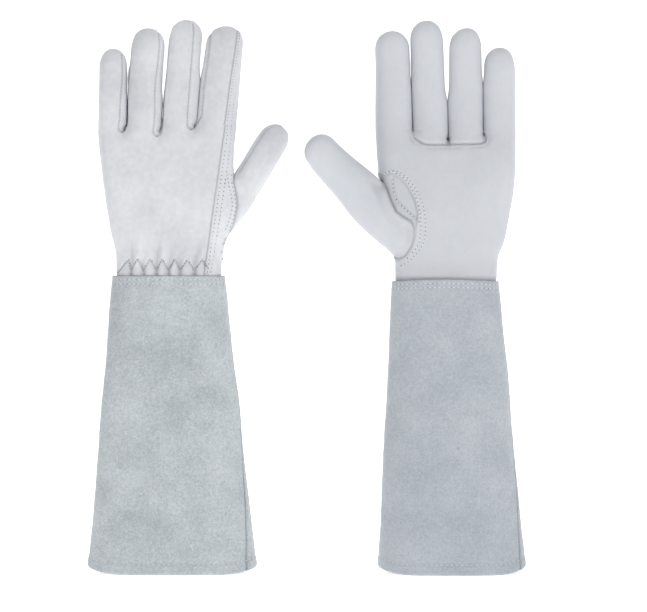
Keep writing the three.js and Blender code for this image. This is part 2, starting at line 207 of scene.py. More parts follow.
def toWorld(name, points):
    side = looks[name]["side"]
    home = np.array(joints[f"{name}_wrist"]["pos_m"])
    return np.asarray(points, float) * mm * [side, side, 1] + home


def toGlove(name, place):  # a joint's place in its glove's own axes
    side = looks[name]["side"]
    home = np.array(joints[f"{name}_wrist"]["pos_m"])
    return (np.array(place) - home) / mm * [side, side, 1]


# meshes

def faceNormals(points, quads):
    a, b, c, d = (points[quads[:, k]] for k in range(4))
    return np.cross(c - a, d - b)


def pointNormals(points, quads):
    faces = faceNormals(points, quads)
    normals = np.zeros_like(points)
    for k in range(4):
        np.add.at(normals, quads[:, k], faces)
    return normals / np.maximum(np.linalg.norm(normals, axis=1, keepdims=True), 1e-12)


def gridQuads(ids):  # faces of a grid of point numbers, rows going up, columns anticlockwise
    corners = [ids[:-1, :-1], ids[:-1, 1:], ids[1:, 1:], ids[1:, :-1]]
    return np.stack(corners, -1).reshape(-1, 4)


def makeMesh(name, points, faces, material, values=None, normals=None):
    mesh = bpy.data.meshes.new(name)
    mesh.from_pydata(points.tolist(), [], faces)
    for label, numbers in (values or {}).items():
        attribute = mesh.attributes.new(label, "FLOAT", "POINT")
        attribute.data.foreach_set("value", numbers.astype(np.float32))
    mesh.polygons.foreach_set("use_smooth", [True] * len(mesh.polygons))
    if normals is not None:
        mesh.normals_split_custom_set(normals)
    mesh.materials.append(material)
    obj = bpy.data.objects.new(name, mesh)
    bpy.context.scene.collection.objects.link(obj)
    return obj


def leatherPiece(name, glove, points, normals, quads, wall, material, values):
    # one closed piece of sheet: its outside, an inside one wall deeper, and the cut edges between
    used, small = np.unique(quads, return_inverse=True)
    quads = small.reshape(-1, 4)
    outer, facing, count = points[used], normals[used], len(used)
    pairs = np.vstack([quads[:, [k, (k + 1) % 4]] for k in range(4)])
    pairs = pairs[pairs[:, 0] != pairs[:, 1]]
    keys = pairs[:, 0] * count + pairs[:, 1]
    edge = pairs[~np.isin(keys, pairs[:, 1] * count + pairs[:, 0])]
    rim = np.column_stack([edge[:, 1], edge[:, 0], edge[:, 0] + count, edge[:, 1] + count])
    everything = np.vstack([outer, outer - facing * wall])
    allQuads = np.vstack([quads, quads[:, ::-1] + count, rim])
    rimNormals = faceNormals(everything, rim)
    rimNormals /= np.maximum(np.linalg.norm(rimNormals, axis=1, keepdims=True), 1e-12)
    side = looks[glove]["side"]
    vertexFacing = np.vstack([facing, -facing]) * [side, side, 1]
    rimNormals = rimNormals * [side, side, 1]
    faces, cornerNormals = [], []
    for k, quad in enumerate(allQuads.tolist()):
        face = list(dict.fromkeys(quad))
        if len(face) < 3:
            continue
        faces.append(face)
        rimFace = k - 2 * len(quads)
        if rimFace >= 0:
            cornerNormals += [rimNormals[rimFace]] * len(face)
        else:
            cornerNormals += [vertexFacing[v] for v in face]
    doubled = {label: np.tile(numbers[used], 2) for label, numbers in values.items()}
    return makeMesh(name, toWorld(glove, everything), faces, material, doubled, cornerNormals)


# shader maths

class Socket:
    def __init__(self, tree, output):
        self.tree = tree
        self.output = output

    def maths(self, operation, *others, clamp=False):
        settings = {"operation": operation, "use_clamp": clamp}
        return self.tree.add("ShaderNodeMath", settings, [self, *others])

    def __add__(self, other):
        return self.maths("ADD", other)

    def __radd__(self, other):
        return self.maths("ADD", other)

    def __rsub__(self, other):
        return self.maths("MULTIPLY_ADD", -1.0, other)

    def __mul__(self, other):
        return self.maths("MULTIPLY", other)

    def __rmul__(self, other):
        return self.maths("MULTIPLY", other)

    def clamped(self):
        return self.maths("ADD", 0.0, clamp=True)


class Finish:  # one material and what makes its nodes
    def __init__(self, name):
        self.material = bpy.data.materials.new(name)
        self.material.use_nodes = True
        self.nodes = self.material.node_tree.nodes
        self.links = self.material.node_tree.links
        self.nodes.clear()

    def node(self, kind, settings=None, inputs=None):
        made = self.nodes.new(kind)
        for key, value in (settings or {}).items():
            setattr(made, key, value)
        pairs = inputs.items() if isinstance(inputs, dict) else enumerate(inputs or [])
        for key, value in pairs:
            if isinstance(value, Socket):
                self.links.new(value.output, made.inputs[key])
            else:
                made.inputs[key].default_value = value
        return made

    def add(self, kind, settings=None, inputs=None, output=0):
        return Socket(self, self.node(kind, settings, inputs).outputs[output])

    def place(self, scale=(1, 1, 1)):
        spot = self.add("ShaderNodeTexCoord", output="Object")
        return self.add("ShaderNodeMapping", {"vector_type": "POINT"}, {"Vector": spot, "Scale": scale})

    def cloud(self, place, scale, detail=3.0, roughness=0.55):
        inputs = {"Vector": place, "Scale": scale, "Detail": detail, "Roughness": roughness}
        return self.add("ShaderNodeTexNoise", {"noise_dimensions": "3D"}, inputs)

    def value(self, name):
        return self.add("ShaderNodeAttribute", {"attribute_name": name}, output="Fac")

    def blend(self, factor, first, second):
        inputs = {0: factor, 6: first, 7: second}
        return self.add("ShaderNodeMix", {"data_type": "RGBA"}, inputs, output=2)

    def ramp(self, value, low, high):
        return self.add("ShaderNodeMapRange", {}, {0: value, 1: low, 2: high, 3: 0.0, 4: 1.0})

    def finish(self, colour, roughness, bumpHeight, bumpDistance, fixed):
        relief = {"Strength": 1.0, "Distance": bumpDistance, "Height": bumpHeight}
        bump = self.add("ShaderNodeBump", {}, relief)
        inputs = {"Base Color": colour, "Roughness": roughness, "Normal": bump, **fixed}
        surface = self.add("ShaderNodeBsdfPrincipled", {}, inputs)
        self.node("ShaderNodeOutputMaterial", {}, {"Surface": surface})
        return self.material


def srgb(red, green, blue):
    def linear(v):
        v /= 255
        return v / 12.92 if v < 0.04045 else ((v + 0.055) / 1.055) ** 2.4
    return (linear(red), linear(green), linear(blue), 1.0)


leatherLook = {
    "light": srgb(226, 228, 232),
    "dark": srgb(206, 208, 213),
    # painted shade: the dark colour laid into seams, grooves, folds and the line under the cuff's edge
    "crease": srgb(104, 107, 114),
    "second": srgb(195, 198, 204),  # painted shade: glove b's leather a little darker
    # painted shade: the recessed gusset a little darker
    "gusset": srgb(196, 199, 204),
    "grain": 1450.0,
    "grainDepth": 0.00009,
    "roughness": (0.5, 0.62),
}


def makeLeather():
    f = Finish("hand_leather")
    place = f.place()
    patches = f.cloud(place, 22, 3)
    fine = f.cloud(place, 210, 2)
    grain = f.cloud(place, leatherLook["grain"], 2)
    pores = f.add("ShaderNodeTexVoronoi", {"feature": "SMOOTH_F1"},
                  {"Vector": place, "Scale": 900.0, "Smoothness": 0.6})
    ridged = {"noise_dimensions": "3D", "noise_type": "RIDGED_MULTIFRACTAL"}
    creases = f.add("ShaderNodeTexNoise", ridged,
                    {"Vector": place, "Scale": 95.0, "Detail": 4.0, "Roughness": 0.5})
    mottle = (patches * 0.7 + fine * 0.3).clamped()
    colour = f.blend(f.ramp(mottle, 0.35, 0.65), leatherLook["dark"], leatherLook["light"])
    # painted shade: glove b's leather a little darker
    colour = f.blend(f.value("second") * 0.7, colour, leatherLook["second"])
    # painted shade over the recessed gusset
    colour = f.blend(f.value("gusset") * 0.5, colour, leatherLook["gusset"])
    # painted shade darkens the leather along seams, grooves, folds and under the cuff's edge
    colour = f.blend((f.value("crease") * 0.75).clamped(), colour, leatherLook["crease"])
    low, high = leatherLook["roughness"]
    roughness = f.ramp(patches, 0.3, 0.7) * (high - low) + low
    height = grain * 0.45 + pores * 0.5 + creases * 0.12 + fine * 0.6
    fixed = {"Specular IOR Level": 0.42, "Sheen Weight": 0.08, "Sheen Roughness": 0.5}
    return f.finish(colour, roughness, height, leatherLook["grainDepth"], fixed)


suedeLook = {
    "light": srgb(208, 214, 217),
    "dark": srgb(166, 173, 178),
    # painted shade: glove b's suede a little darker and bluer
    "second": srgb(166, 171, 184),
    "fleck": srgb(146, 138, 130),
    # painted shade: the dark colour laid along the side seam, the hem's fold and the top edge
    "crease": srgb(120, 126, 133),
    "napDepth": 0.0006,
}


def makeSuede():
    f = Finish("cuff_suede")
    place = f.place()
    patches = f.cloud(place, 28, 5, 0.62)
    nap = f.cloud(place, 420, 4, 0.7)
    fibre = f.cloud(f.place((1.0, 1.0, 0.35)), 900, 3, 0.6)
    speckle = f.cloud(place, 950, 2, 0.7)
    mixed = patches * 0.3 + nap * 0.32 + speckle * 0.38
    colour = f.blend(f.ramp(mixed, 0.4, 0.6), suedeLook["dark"], suedeLook["light"])
    # painted shade: glove b's suede a little darker and bluer
    colour = f.blend(f.value("second") * 0.35, colour, suedeLook["second"])
    flecks = f.add("ShaderNodeTexVoronoi", {"feature": "F1"},
                   {"Vector": place, "Scale": 70.0, "Randomness": 1.0})
    rare = f.ramp(f.cloud(place, 60, 1), 0.66, 0.7)
    colour = f.blend((1 - f.ramp(flecks, 0.06, 0.11)) * rare * 0.5, colour, suedeLook["fleck"])
    # painted shade darkens the suede along the side seam, the hem's fold and the top edge
    colour = f.blend((f.value("crease") * 0.8).clamped(), colour, suedeLook["crease"])
    height = nap * 0.8 + fibre * 0.5 + patches * 0.6
    fixed = {"Specular IOR Level": 0.15, "Sheen Weight": 0.35, "Sheen Roughness": 0.55}
    return f.finish(colour, 0.92, height, suedeLook["napDepth"], fixed)


def makeThread():
    f = Finish("thread")
    place = f.place()
    twist = f.cloud(place, 1500, 1)
    colour = f.blend(twist, srgb(196, 200, 205), srgb(236, 238, 240))
    return f.finish(colour, 0.7 + 0.1 * twist, twist, 0.0002, {"Specular IOR Level": 0.3})


# painted shade: the dark beads in the needle holes stand in for the shade inside them
def makeHoleShade():
    f = Finish("needle_hole")
    shade = f.cloud(f.place(), 900, 1)
    colour = f.blend(shade, srgb(108, 111, 118), srgb(140, 143, 149))
    return f.finish(colour, 0.8 + 0.1 * shade, shade, 0.0001, {"Specular IOR Level": 0.1})


def makeElastic():
    f = Finish("elastic")
    weave = f.add("ShaderNodeTexWave", {"wave_type": "BANDS", "bands_direction": "Z"},
                  {"Vector": f.place(), "Scale": 260.0, "Distortion": 1.0})
    colour = f.blend(weave, srgb(214, 214, 210), srgb(240, 240, 236))
    return f.finish(colour, 0.85, weave, 0.0003, {"Specular IOR Level": 0.2})


leatherFinish = makeLeather()
suedeFinish = makeSuede()
threadFinish = makeThread()
holeShadeFinish = makeHoleShade()
elasticFinish = makeElastic()
print("finishes made")


# the hand: palm and back in one wrap, and four fingers, as one surface

class HandShape:
    def __init__(self, name):
        look = looks[name]
        self.name, self.look = name, look
        self.webX = np.array([w[0] for w in look["webs"]])
        self.webZ = np.array([w[1] for w in look["webs"]])
        self.left = profile(look["littleSide"])
        self.right = profile(look["thumbSide"])
        self.share = (self.webX - self.webX[0]) / (self.webX[4] - self.webX[0])
        self.folds = [toGlove(name, joints[f"{name}_{f}_middle_fold"]["pos_m"])[2] for f in fingerNames]

    def webAt(self, i, z):
        return lerp(self.left(z), self.right(z), self.share[i])

    def curl(self, finger, z):  # how far a relaxed finger leans to the palm
        start, first, second = hand["fingerCurl"]
        fold = np.array(self.folds)[finger]
        return first * softRamp(z - start, 8) + second * softRamp(z - fold, 10) - 0.15

    def fingerEdges(self, finger, z):  # the two sides of each finger above the webs
        tips = np.array(self.look["tips"])
        tip = tips[finger]
        top = tip[..., 2] - hand["fingerDome"]
        edges = []
        for k, way in ((0, -1), (1, 1)):
            x, base = self.webX[finger + k], self.webZ[finger + k]
            t = (z - base) / (top - base)
            own = lerp(x, tip[..., 0] + way * tip[..., 1] / 2, t)
            inner = (finger + k > 0) & (finger + k < 4)
            other = tips[np.clip(finger + way, 0, 3)]
            theirT = (z - base) / (other[..., 2] - hand["fingerDome"] - base)
            theirs = lerp(x, other[..., 0] - way * other[..., 1] / 2, theirT)
            fading = smooth((z - base) / 6) * np.clip(1 - (t + theirT) / 1.7, 0, 1)
            shift = np.array(self.look["gapShift"])[finger + k] * fading
            shared = (own + theirs) / 2 + shift + way * 0.22 * smooth((z - base) / 3)
            parted = smooth((z - np.array(self.look["gapsOpen"])[finger + k]) / hand["gapOpening"])
            edges.append(np.where(inner, lerp(shared, own, parted), own))
        return edges

    def palmHeight(self, x, z, side):  # the plain palm or back, without its valleys
        low, high, web = self.left(z), self.right(z), self.webAt(3, z)
        little = self.webAt(1, z)
        u = np.clip(2 * (x - low) / (high - low) - 1, -1, 1)
        index = np.clip(2 * (x - web) / (high - web) - 1, 0, 1)
        small = np.clip(2 * (x - low) / (little - low) - 1, -1, 0)
        ends = rounded(index, hand["fingerPower"]) * rounded(small, hand["fingerPower"])
        whole = lerp(rounded(u, hand["edgePower"]), ends, smooth((z - 5) / 88))
        return side * np.where(side < 0, halfDepth[-1](z), halfDepth[1](z)) * whole


def lapX(z):
    return hand["lapAtWrist"] + hand["lapSlope"] * z


seamShares = {  # across each finger's back: at its base, its middle and near its tip
    "little": (0.53, 0.56, 0.74),
    "ring": (0.6, 0.62, 0.75),
    "middle": (0.48, 0.43, 0.51),
    "index": (0.46, 0.54, 0.68),
}


def seamShare(shape, finger, z):
    base, middle, top = seamShares[fingerNames[finger]]
    tipZ = shape.look["tips"][finger][2] - hand["fingerDome"]
    webZ = shape.webZ[finger]
    t = (z - webZ) / (tipZ - webZ)
    up = np.interp(t, [0, 0.45, 1.0, 1.2], [base, middle, top, top])
    if finger < 3:
        return up
    high, web = shape.right(z), shape.webAt(3, z)
    onHand = (2 * lapX(z) - high - web) / (high - web)
    return np.where(z < webZ, np.clip(onHand, -0.9, 0.9), up)


def columnPlaces(count, knot=None):
    c = np.linspace(-1, 1, count + 1)
    spread = 0.12 * c - 0.88 * np.cos(np.pi * (c + 1) / 2)
    if knot is None:
        return spread
    near = np.array([-0.14, -0.085, -0.045, -0.015, 0.015, 0.045, 0.085, 0.14])
    kept = spread[np.abs(spread - knot) > 0.17]
    return np.sort(np.concatenate([kept, knot + near]))


def buildHand(name):
    shape = HandShape(name)
    look = shape.look
    knots = [0.56, 0.62, 0.47, 0.45]
    back = [columnPlaces(hand["columns"], knots[f]) for f in range(4)]
    front = [columnPlaces(hand["columns"]) for f in range(4)]

    def backShare(finger, c, z):
        share = seamShare(shape, finger, z)
        knot = knots[finger]
        below = -1 + (c + 1) / (knot + 1) * (share + 1)
        above = share + (c - knot) / (1 - knot) * (1 - share)
        return np.where(c < knot, below, above)

    ring = [(f, c, -1) for f in range(4) for c in back[f][:-1]] + [(3, 1.0, -1)]
    ring += [(f, c, 1) for f in (3, 2, 1, 0) for c in front[f][::-1][1:]]
    ring = ring[:-1]
    fingers = np.array([r[0] for r in ring])
    places = np.array([r[1] for r in ring])
    sides = np.array([r[2] for r in ring])
    bottom = -hand["sleeve"]
    rows = int((shape.webZ.mean() - bottom) / hand["rowPitch"])
    level = np.linspace(0, 1, rows + 1)[:, None]
    roughZ = lerp(bottom, shape.webZ.mean(), level) + 0 * places
    shares = np.where(sides > 0, places, 0) + 0 * roughZ
    for f in range(4):
        mine = (fingers == f) & (sides < 0)
        shares[:, mine] = backShare(f, places[mine], roughZ[:, mine])
    crotch = lerp(shape.webZ[fingers], shape.webZ[fingers + 1], (shares + 1) / 2)
    z = lerp(bottom, crotch, level)
    x0 = lerp(shape.left(z), shape.right(z), shape.share[fingers])
    x1 = lerp(shape.left(z), shape.right(z), shape.share[fingers + 1])
    x = lerp(x0, x1, (shares + 1) / 2)
    power = hand["fingerPower"]
    inner = ((fingers > 0) & (shares < 0)) | ((fingers < 3) & (shares > 0))
    web = np.where(shares < 0, shape.webZ[fingers], shape.webZ[fingers + 1])
    depthShare = np.clip((web - z) / hand["crotchRound"], 0, 1)
    opened = np.sqrt(1 - (1 - depthShare) ** 2)
    valley = np.maximum(0, 1 - np.abs(shares) ** power * (1 - opened**power)) ** (1 / power)
    valley = np.where(inner, valley, 1)
    y = shape.palmHeight(x, z, sides + 0 * z) * valley + shape.curl(fingers, z)

    points = [np.stack([x, y, z], -1).reshape(-1, 3)]
    tags = [np.stack([fingers + 0 * z, shares, sides + 0 * z, 0 * z], -1).reshape(-1, 4)]
    palmIds = np.arange(x.size).reshape(x.shape)
    top = palmIds[-1].copy()
    starts = np.cumsum([0] + [len(back[f]) - 1 for f in range(4)])  # columns of the webs on the back
    frontStarts = starts[4] + np.cumsum([0] + [len(front[f]) - 1 for f in (3, 2, 1, 0)])
    twin = {top[frontStarts[k]]: top[starts[4 - k]] for k in (1, 2, 3)}
    swap = np.arange(x.size)
    for a, b in twin.items():
        swap[a] = b
    ringIds = np.concatenate([palmIds, palmIds[:, :1]], 1)
    quads = [swap[gridQuads(ringIds)]]
    pieceOf = [np.zeros(len(quads[0]), int)]
    total = x.size

    for f in range(4):
        cs = np.concatenate([back[f], front[f][::-1][1:-1]])
        side = np.concatenate([np.full(len(back[f]), -1), np.full(len(front[f]) - 2, 1)])
        backIds = top[starts[f]:starts[f + 1] + 1]
        k = 3 - f
        frontIds = top[np.arange(frontStarts[k], frontStarts[k + 1] + 1) % len(top)][1:-1]
        base = swap[np.concatenate([backIds, frontIds])]
        tipX, tipWide, tipZ = look["tips"][f]
        straightTop = tipZ - hand["fingerDome"]
        count = int((straightTop - shape.webZ[f]) / hand["rowPitch"])
        t = np.linspace(0, 1, count + 1)[1:, None]
        roughZ = lerp(shape.webZ[f], straightTop, t) + 0 * cs
        s = np.where(side < 0, backShare(f, cs, roughZ), cs)
        z = lerp(lerp(shape.webZ[f], shape.webZ[f + 1], (s + 1) / 2), straightTop, t)
        low, high = shape.fingerEdges(np.full(z.shape, f), z)
        x = lerp(low, high, (s + 1) / 2)
        depth = np.where(side < 0, halfDepth[-1](z), halfDepth[1](z))
        y = side * depth * rounded(s, power) + shape.curl(f, z)
        straight = np.stack([x, y, z], -1)
        turn = np.linspace(0, np.pi / 2, 19)[1:-1, None]
        s2 = np.where(side < 0, backShare(f, cs, straightTop + 0 * turn), cs)
        z2 = straightTop + hand["fingerDome"] * np.sin(turn) + 0 * cs
        low, high = shape.fingerEdges(np.full(z2.shape, f), z2)
        low1, high1 = shape.fingerEdges(np.array(f), np.array(straightTop))
        middle = (low + high) / 2
        lean = hand["tipLean"][f] * (1 - np.cos(turn))
        x2 = middle + (high1 - low1) / 2 * s2 * np.cos(turn) ** 0.88 + lean
        depth = np.where(side < 0, halfDepth[-1](z2), halfDepth[1](z2))
        y2 = side * depth * rounded(s2, power) * np.cos(turn) ** 0.8 + shape.curl(f, z2)
        end = np.array([[middle[-1, 0] + hand["tipLean"][f], shape.curl(f, tipZ), tipZ]])
        grid = np.concatenate([straight, np.stack([x2, y2, z2], -1)])
        ids = total + np.arange(grid.shape[0] * grid.shape[1]).reshape(grid.shape[:2])
        pole = total + ids.size
        total = pole + 1
        points += [grid.reshape(-1, 3), end]
        sAll = np.concatenate([s, s2])
        tag = np.stack([f + 0 * sAll, sAll, side + 0 * sAll, 1 + 0 * sAll], -1).reshape(-1, 4)
        tags += [tag, np.array([[f, 0, 0, 1]])]
        whole = np.vstack([base, ids])
        whole = np.concatenate([whole, whole[:, :1]], 1)
        q = gridQuads(whole)
        poles = np.full(len(cs), pole)
        cap = np.stack([whole[-1, :-1], whole[-1, 1:], poles, poles], -1)
        cut = shape.folds[f] - hand["cutBelowFold"]
        rowHeights = grid[:, :, 2].mean(1)
        isUpper = np.repeat(rowHeights > cut, len(cs))
        pieceOf += [np.where(isUpper, 2 * f + 2, 2 * f + 1), np.full(len(cap), 2 * f + 2)]
        quads += [q, cap]
    points, tags = np.vstack(points), np.vstack(tags)
    quads, pieceOf = np.vstack(quads), np.concatenate(pieceOf)
    return shape, points, tags, quads, pieceOf


gather = {  # the zigzag of stitches that holds the wrist on its elastic
    "peaks": [(-34, -3.4), (-25.4, -2.6), (-15.1, -2.6), (-4.8, -2.8), (6, -2.6), (16.7, -3.2),
              (28.8, -3.4)],
    "valleys": [(-31.7, -11.0), (-21, -11.6), (-9.7, -11.2), (0.6, -11.4), (10.5, -11.0),
                (22.6, -11.4)],
    "start": (-44.0, -15.0),
    "end": (33.4, -9.0),
    "puff": 0.9,
    "fold": 1.5,
    "reach": 42.0,
}
seamGroove = {"depth": 0.8, "width": 0.75, "puff": 0.28}
palmOval = {  # the thumb's hole in the palm, its crease, the gusset's edge and the stitch rows round it
    "edge": [(70, 98), (58.6, 71.6), (53.0, 68.8), (45.4, 69.9), (37.2, 65.1), (31.0, 57.0), (26.3, 47.4),
             (23.5, 36.6), (24.2, 29.7), (25.2, 23.6), (25.6, 16.1), (28.2, 7.6), (33.6, -0.6),
             (38.5, -2.9), (46, -4.6), (54, -6)],
    "thumb": [(70, 94), (58.0, 68.8), (54.8, 63.4), (50.8, 57), (47.3, 47.4), (42.8, 38), (37.2, 33.8),
              (29.6, 29.4), (26.8, 23.6), (26.9, 16.1), (29.4, 8.0), (34.2, 0.5), (38.5, -1.8),
              (46, -3.4), (54, -5)],
    "gussetRow": [(45.6, 66.4), (44.2, 54), (41.2, 46.6), (35, 40.6), (21.6, 28.0)],
    "outerRow": [(52.4, 70.6), (43.2, 72.2), (35.4, 68.7), (27.5, 60), (21.5, 48.7), (18.6, 38),
                 (17.4, 25.2), (18, 16.5), (20.4, 8.7), (25.8, 1.5), (31, -4.0), (36.4, -7.0)],
    "innerRow": [(43.8, 70.8), (35.6, 66.2), (29.2, 57.4), (25.0, 47.8), (22.0, 36), (21.3, 24.3),
                 (22.6, 12.8), (26.4, 5.6), (31.4, -0.4)],
}


def zigzagPath(look):
    inner = [p for pair in zip(gather["peaks"], gather["valleys"]) for p in pair]
    path = [gather["start"], *inner, gather["peaks"][-1], gather["end"]]
    return [(x * look["gatherScale"], z) for x, z in path]


def palmPath(look, key):
    lean, tall = look["palmStretch"]
    return [(x + lean * max(z, 0) / 63, z * tall if z > 0 else z) for x, z in palmOval[key]]


crotchSeam = {  # the seam runs round each crotch in a narrow U
    "middle": (0.0, -1.2, -1.9, -2.0),  # its middle from the web's, at webs 1 to 3
    "drop": (0.0, 2.0, 3.8, 2.4),  # how far its bottom lies below the web
    "half": (0.0, 2.7, 3.2, 3.3),
    "leftShares": (-0.97, -0.97, -0.97, -0.78),  # the seam on each finger's far side
}


def fingerSeams(shape):  # on the back: each finger's two seams, from the crotch to its tip
    def shareAt(f, way, z):
        return float(seamShare(shape, f, np.array(z))) if way > 0 else crotchSeam["leftShares"][f]

    paths = []
    for f in range(4):
        tipX, tipWide, tipZ = shape.look["tips"][f]
        top = tipZ - hand["fingerDome"]
        for way in (-1, 1):
            if (f == 0 and way < 0) or (f == 3 and way > 0):
                continue
            web = f + (way > 0)
            middle = shape.webX[web] + crotchSeam["middle"][web]
            bottom = shape.webZ[web] - crotchSeam["drop"][web]
            half = crotchSeam["half"][web]
            out = -way * half
            path = [(middle, bottom), (middle + 0.62 * out, bottom + 0.9), (middle + out, bottom + 3.6)]
            base = shape.webZ[web]
            for z in (base + 9.0, base + 16.0, base + 0.5 * (top - base), top - 6):
                low, high = shape.fingerEdges(np.array(f), np.array(z))
                share = shareAt(f, way, z)
                path.append((float((low + high) / 2 + share * (high - low) / 2), z))
            share = shareAt(f, way, top)
            path.append((tipX + share * 0.97 * tipWide / 2, top + 6))
            path.append((tipX + share * 0.84 * tipWide / 2, top + 13.5))
            paths.append((f, [tuple(p) for p in along(path, 70)]))
    return paths


def thumbInside(look, x, z, palmward):  # how far within the thumb's seam; its palm line counts by palmward
    return -lerp(awayFrom(x, z, look["backEdge"]), awayFrom(x, z, palmPath(look, "thumb")), palmward)


def relief(shape, points, tags):
    look = shape.look
    x, z = points[:, 0], points[:, 2]
    finger, share, side, onFinger = tags.T
    isBack, isFront = side <= 0, side > 0
    lift = 0.42 * wander(points, 26, look["seed"]) + 0.14 * wander(points, 9, look["seed"] + 4)
    # painted shade: the crease values darken the colour in seams, grooves and folds and below the cuff's
    # edge, and the gusset values darken the recessed gusset
    crease = np.zeros(len(points))
    gusset = np.zeros(len(points))

    # the wrist's gathers, on the back between the little finger's side and the lapped seam
    onBand = smooth((x + 47) / 6) * (1 - smooth((x - 32) / 3)) * isBack
    turns = sorted([px for px, pz in gather["peaks"] + gather["valleys"]] + [gather["end"][0]])
    knots = np.array(turns) * look["gatherScale"]
    wave = np.cos(np.pi * np.interp(x, knots, np.arange(len(knots))))
    above = np.clip(z + 6, 0, None)
    lift += onBand * gather["puff"] * wave * np.exp(-((above / 15) ** 2)) * smooth((z + 21) / 4)
    for k, (px, pz) in enumerate(gather["valleys"]):
        rise = np.clip(z + 11, 0, None)
        sway = 2.2 * np.sin(0.11 * rise + 2.1 * k) - 2.2 * math.sin(2.1 * k)
        slant = px * look["gatherScale"] * (1 + 0.004 * rise) + sway
        wide = 1.1 + 0.11 * rise
        reach = gather["reach"] * (0.75 + 0.25 * math.sin(3.7 * k + look["seed"]))
        fade = smooth((z + 19) / 4) * (1 - smooth(rise / reach))
        lift -= onBand * gather["fold"] * fade * bell(x - slant, wide)
        lift += onBand * 0.55 * gather["fold"] * fade * bell(x - slant - 2.1 * wide, 1.3 * wide)
        # painted shade down the middle of each fold
        crease += onBand * 0.2 * fade * bell(x - slant, wide)
    zigzag = awayFrom(x, z, zigzagPath(look))
    beside = smooth(zigzag / 0.8) * (1 - smooth((zigzag - 1.0) / 4.0))
    lift -= onBand * (1.1 * bell(zigzag, 0.85) + 0.5 * beside)
    # painted shade along the zigzag's groove
    crease += onBand * 0.7 * bell(zigzag, 0.6)
    lift = np.where(isBack & (z < 20), np.maximum(lift, -2.3), lift)
    # painted shadow on the leather just below the cuff's top edge, on the back and the front
    crease += isBack * 0.4 * (1 - smooth((z + 17.5) / 2))
    crease += isFront * 0.35 * (1 - smooth((z + 18.5) / 2.5))

    # the closing seam: the thumb side's layer lies on top, up the hand and the index finger
    onHand = z < shape.webZ[3] + 1
    low, high = shape.fingerEdges(np.full(len(z), 3), z)
    upSeam = (low + high) / 2 + seamShare(shape, 3, z) * (high - low) / 2
    out = x - np.where(onHand, lapX(z), upSeam)
    nearLap = isBack & (onHand | (finger == 3))
    height = hand["lapHeight"] * np.where(onFinger > 0, 0.75, 1.0)
    step = smooth((out + 0.25) / 0.5) * (1 - smooth((out - 3) / 12))
    lift += nearLap * (height * step - 0.35 * bell(out + 1.0, 1.0))
    # painted shade along the step of the lapped seam
    crease += nearLap * 0.55 * bell(out + 0.35, 0.5)
    for row in hand["lapRows"]:
        fade = onFinger < 0.5
        lift -= nearLap * fade * 0.22 * bell(out - row, 0.7)

    for f, path in fingerSeams(shape):
        away = awayFrom(x, z, path)
        near = isBack & ((onFinger < 0.5) | (finger == f))
        d = np.abs(away)
        lift += near * seamGroove["puff"] * bell(d - 1.7, 1.0)
        lift -= near * seamGroove["depth"] * bell(d, seamGroove["width"])
        # painted shade in each finger seam's groove
        crease += near * (0.5 + 0.12 * np.cos(2 * np.pi * z / 3.2)) * bell(d, 0.6)

    # the cross seam under the ring and middle fingers, on the palm
    w = list(zip(shape.webX, shape.webZ))
    cross = [(w[3][0] + 0.2, w[3][1] - 1.0), (w[3][0] - 0.4, w[3][1] - 5.6),
             (w[3][0] - 5.9, w[3][1] - 10.4), (w[3][0] - 12.7, w[3][1] - 12.6),
             (w[2][0], w[1][1] - 8.4), (w[1][0] + 3.4, w[1][1] - 7.6),
             (w[1][0] - 0.9, w[1][1] - 3.6), (w[1][0], w[1][1] + 1.0)]
    away = awayFrom(x, z, [tuple(p) for p in along(cross, 70)])
    inPalm = isFront & (z < w[3][1] + 3)
    nearWeb = smooth((w[1][1] - 0.5 - z) / 4)
    lift += inPalm * (0.6 * bell(away + 1.9, 1.0) - 1.4 * nearWeb * bell(away, 0.8))
    tucked = isFront & ((finger == 1) | (finger == 2)) & (away > 0)
    tuckedFade = (1 - smooth((z - w[2][1]) / 30)) * (1 - np.abs(share) ** 4)
    lift += tucked * 1.3 * smooth(away / 2.6) * tuckedFade
    lift -= inPalm * nearWeb * 0.45 * bell(away + 3.3, 0.5)
    # painted shade along the cross seam's groove and its fine line
    crease += inPalm * nearWeb * (0.45 * bell(away, 0.7) + 0.3 * bell(away + 3.3, 0.45))
    notch = np.abs(awayFrom(x, z, [(w[2][0], w[2][1] + 2), (w[2][0], w[1][1] - 8)]))
    inNotch = isFront * (z < w[2][1] + 1) * smooth((z - w[1][1] + 9.5) / 2)
    lift -= inNotch * 1.2 * bell(notch, 1.3)
    # painted shade in the notch
    crease += inNotch * 0.25 * bell(notch, 0.8)

    # the thumb's oval and crease, on the palm, with painted shade along the crease, the oval's edge and
    # the gusset's row
    oval = awayFrom(x, z, palmPath(look, "edge"))
    thumb = awayFrom(x, z, palmPath(look, "thumb"))
    inBand = isFront & (z < 90)
    # painted shade over the recessed gusset inside the oval
    gusset += inBand * smooth(-oval / 1.5 + 0.5) * (z > -14)
    onTop = smooth((z - 20) / 14)
    lift += inBand * (0.35 * bell(oval - 1.3, 1.3) - 1.5 * smooth(-oval / 1.2) * onTop)
    crease += inBand * lerp(0.2, 0.45, onTop) * bell(oval + 0.3, 0.6)
    row = awayFrom(x, z, palmPath(look, "gussetRow"))
    lift += inBand * (oval < 0) * onTop * (0.9 * smooth(-(row - 1.5) / 2.0) - 0.5 * bell(row, 0.9))
    folded = 0.35 * bell(thumb - 1.0, 3.0) * smooth((z - 34) / 10)
    crease += inBand * (oval < 0) * onTop * (0.5 * bell(row, 0.8) + folded)
    crease += inBand * onTop * bell(thumb, 1.3)

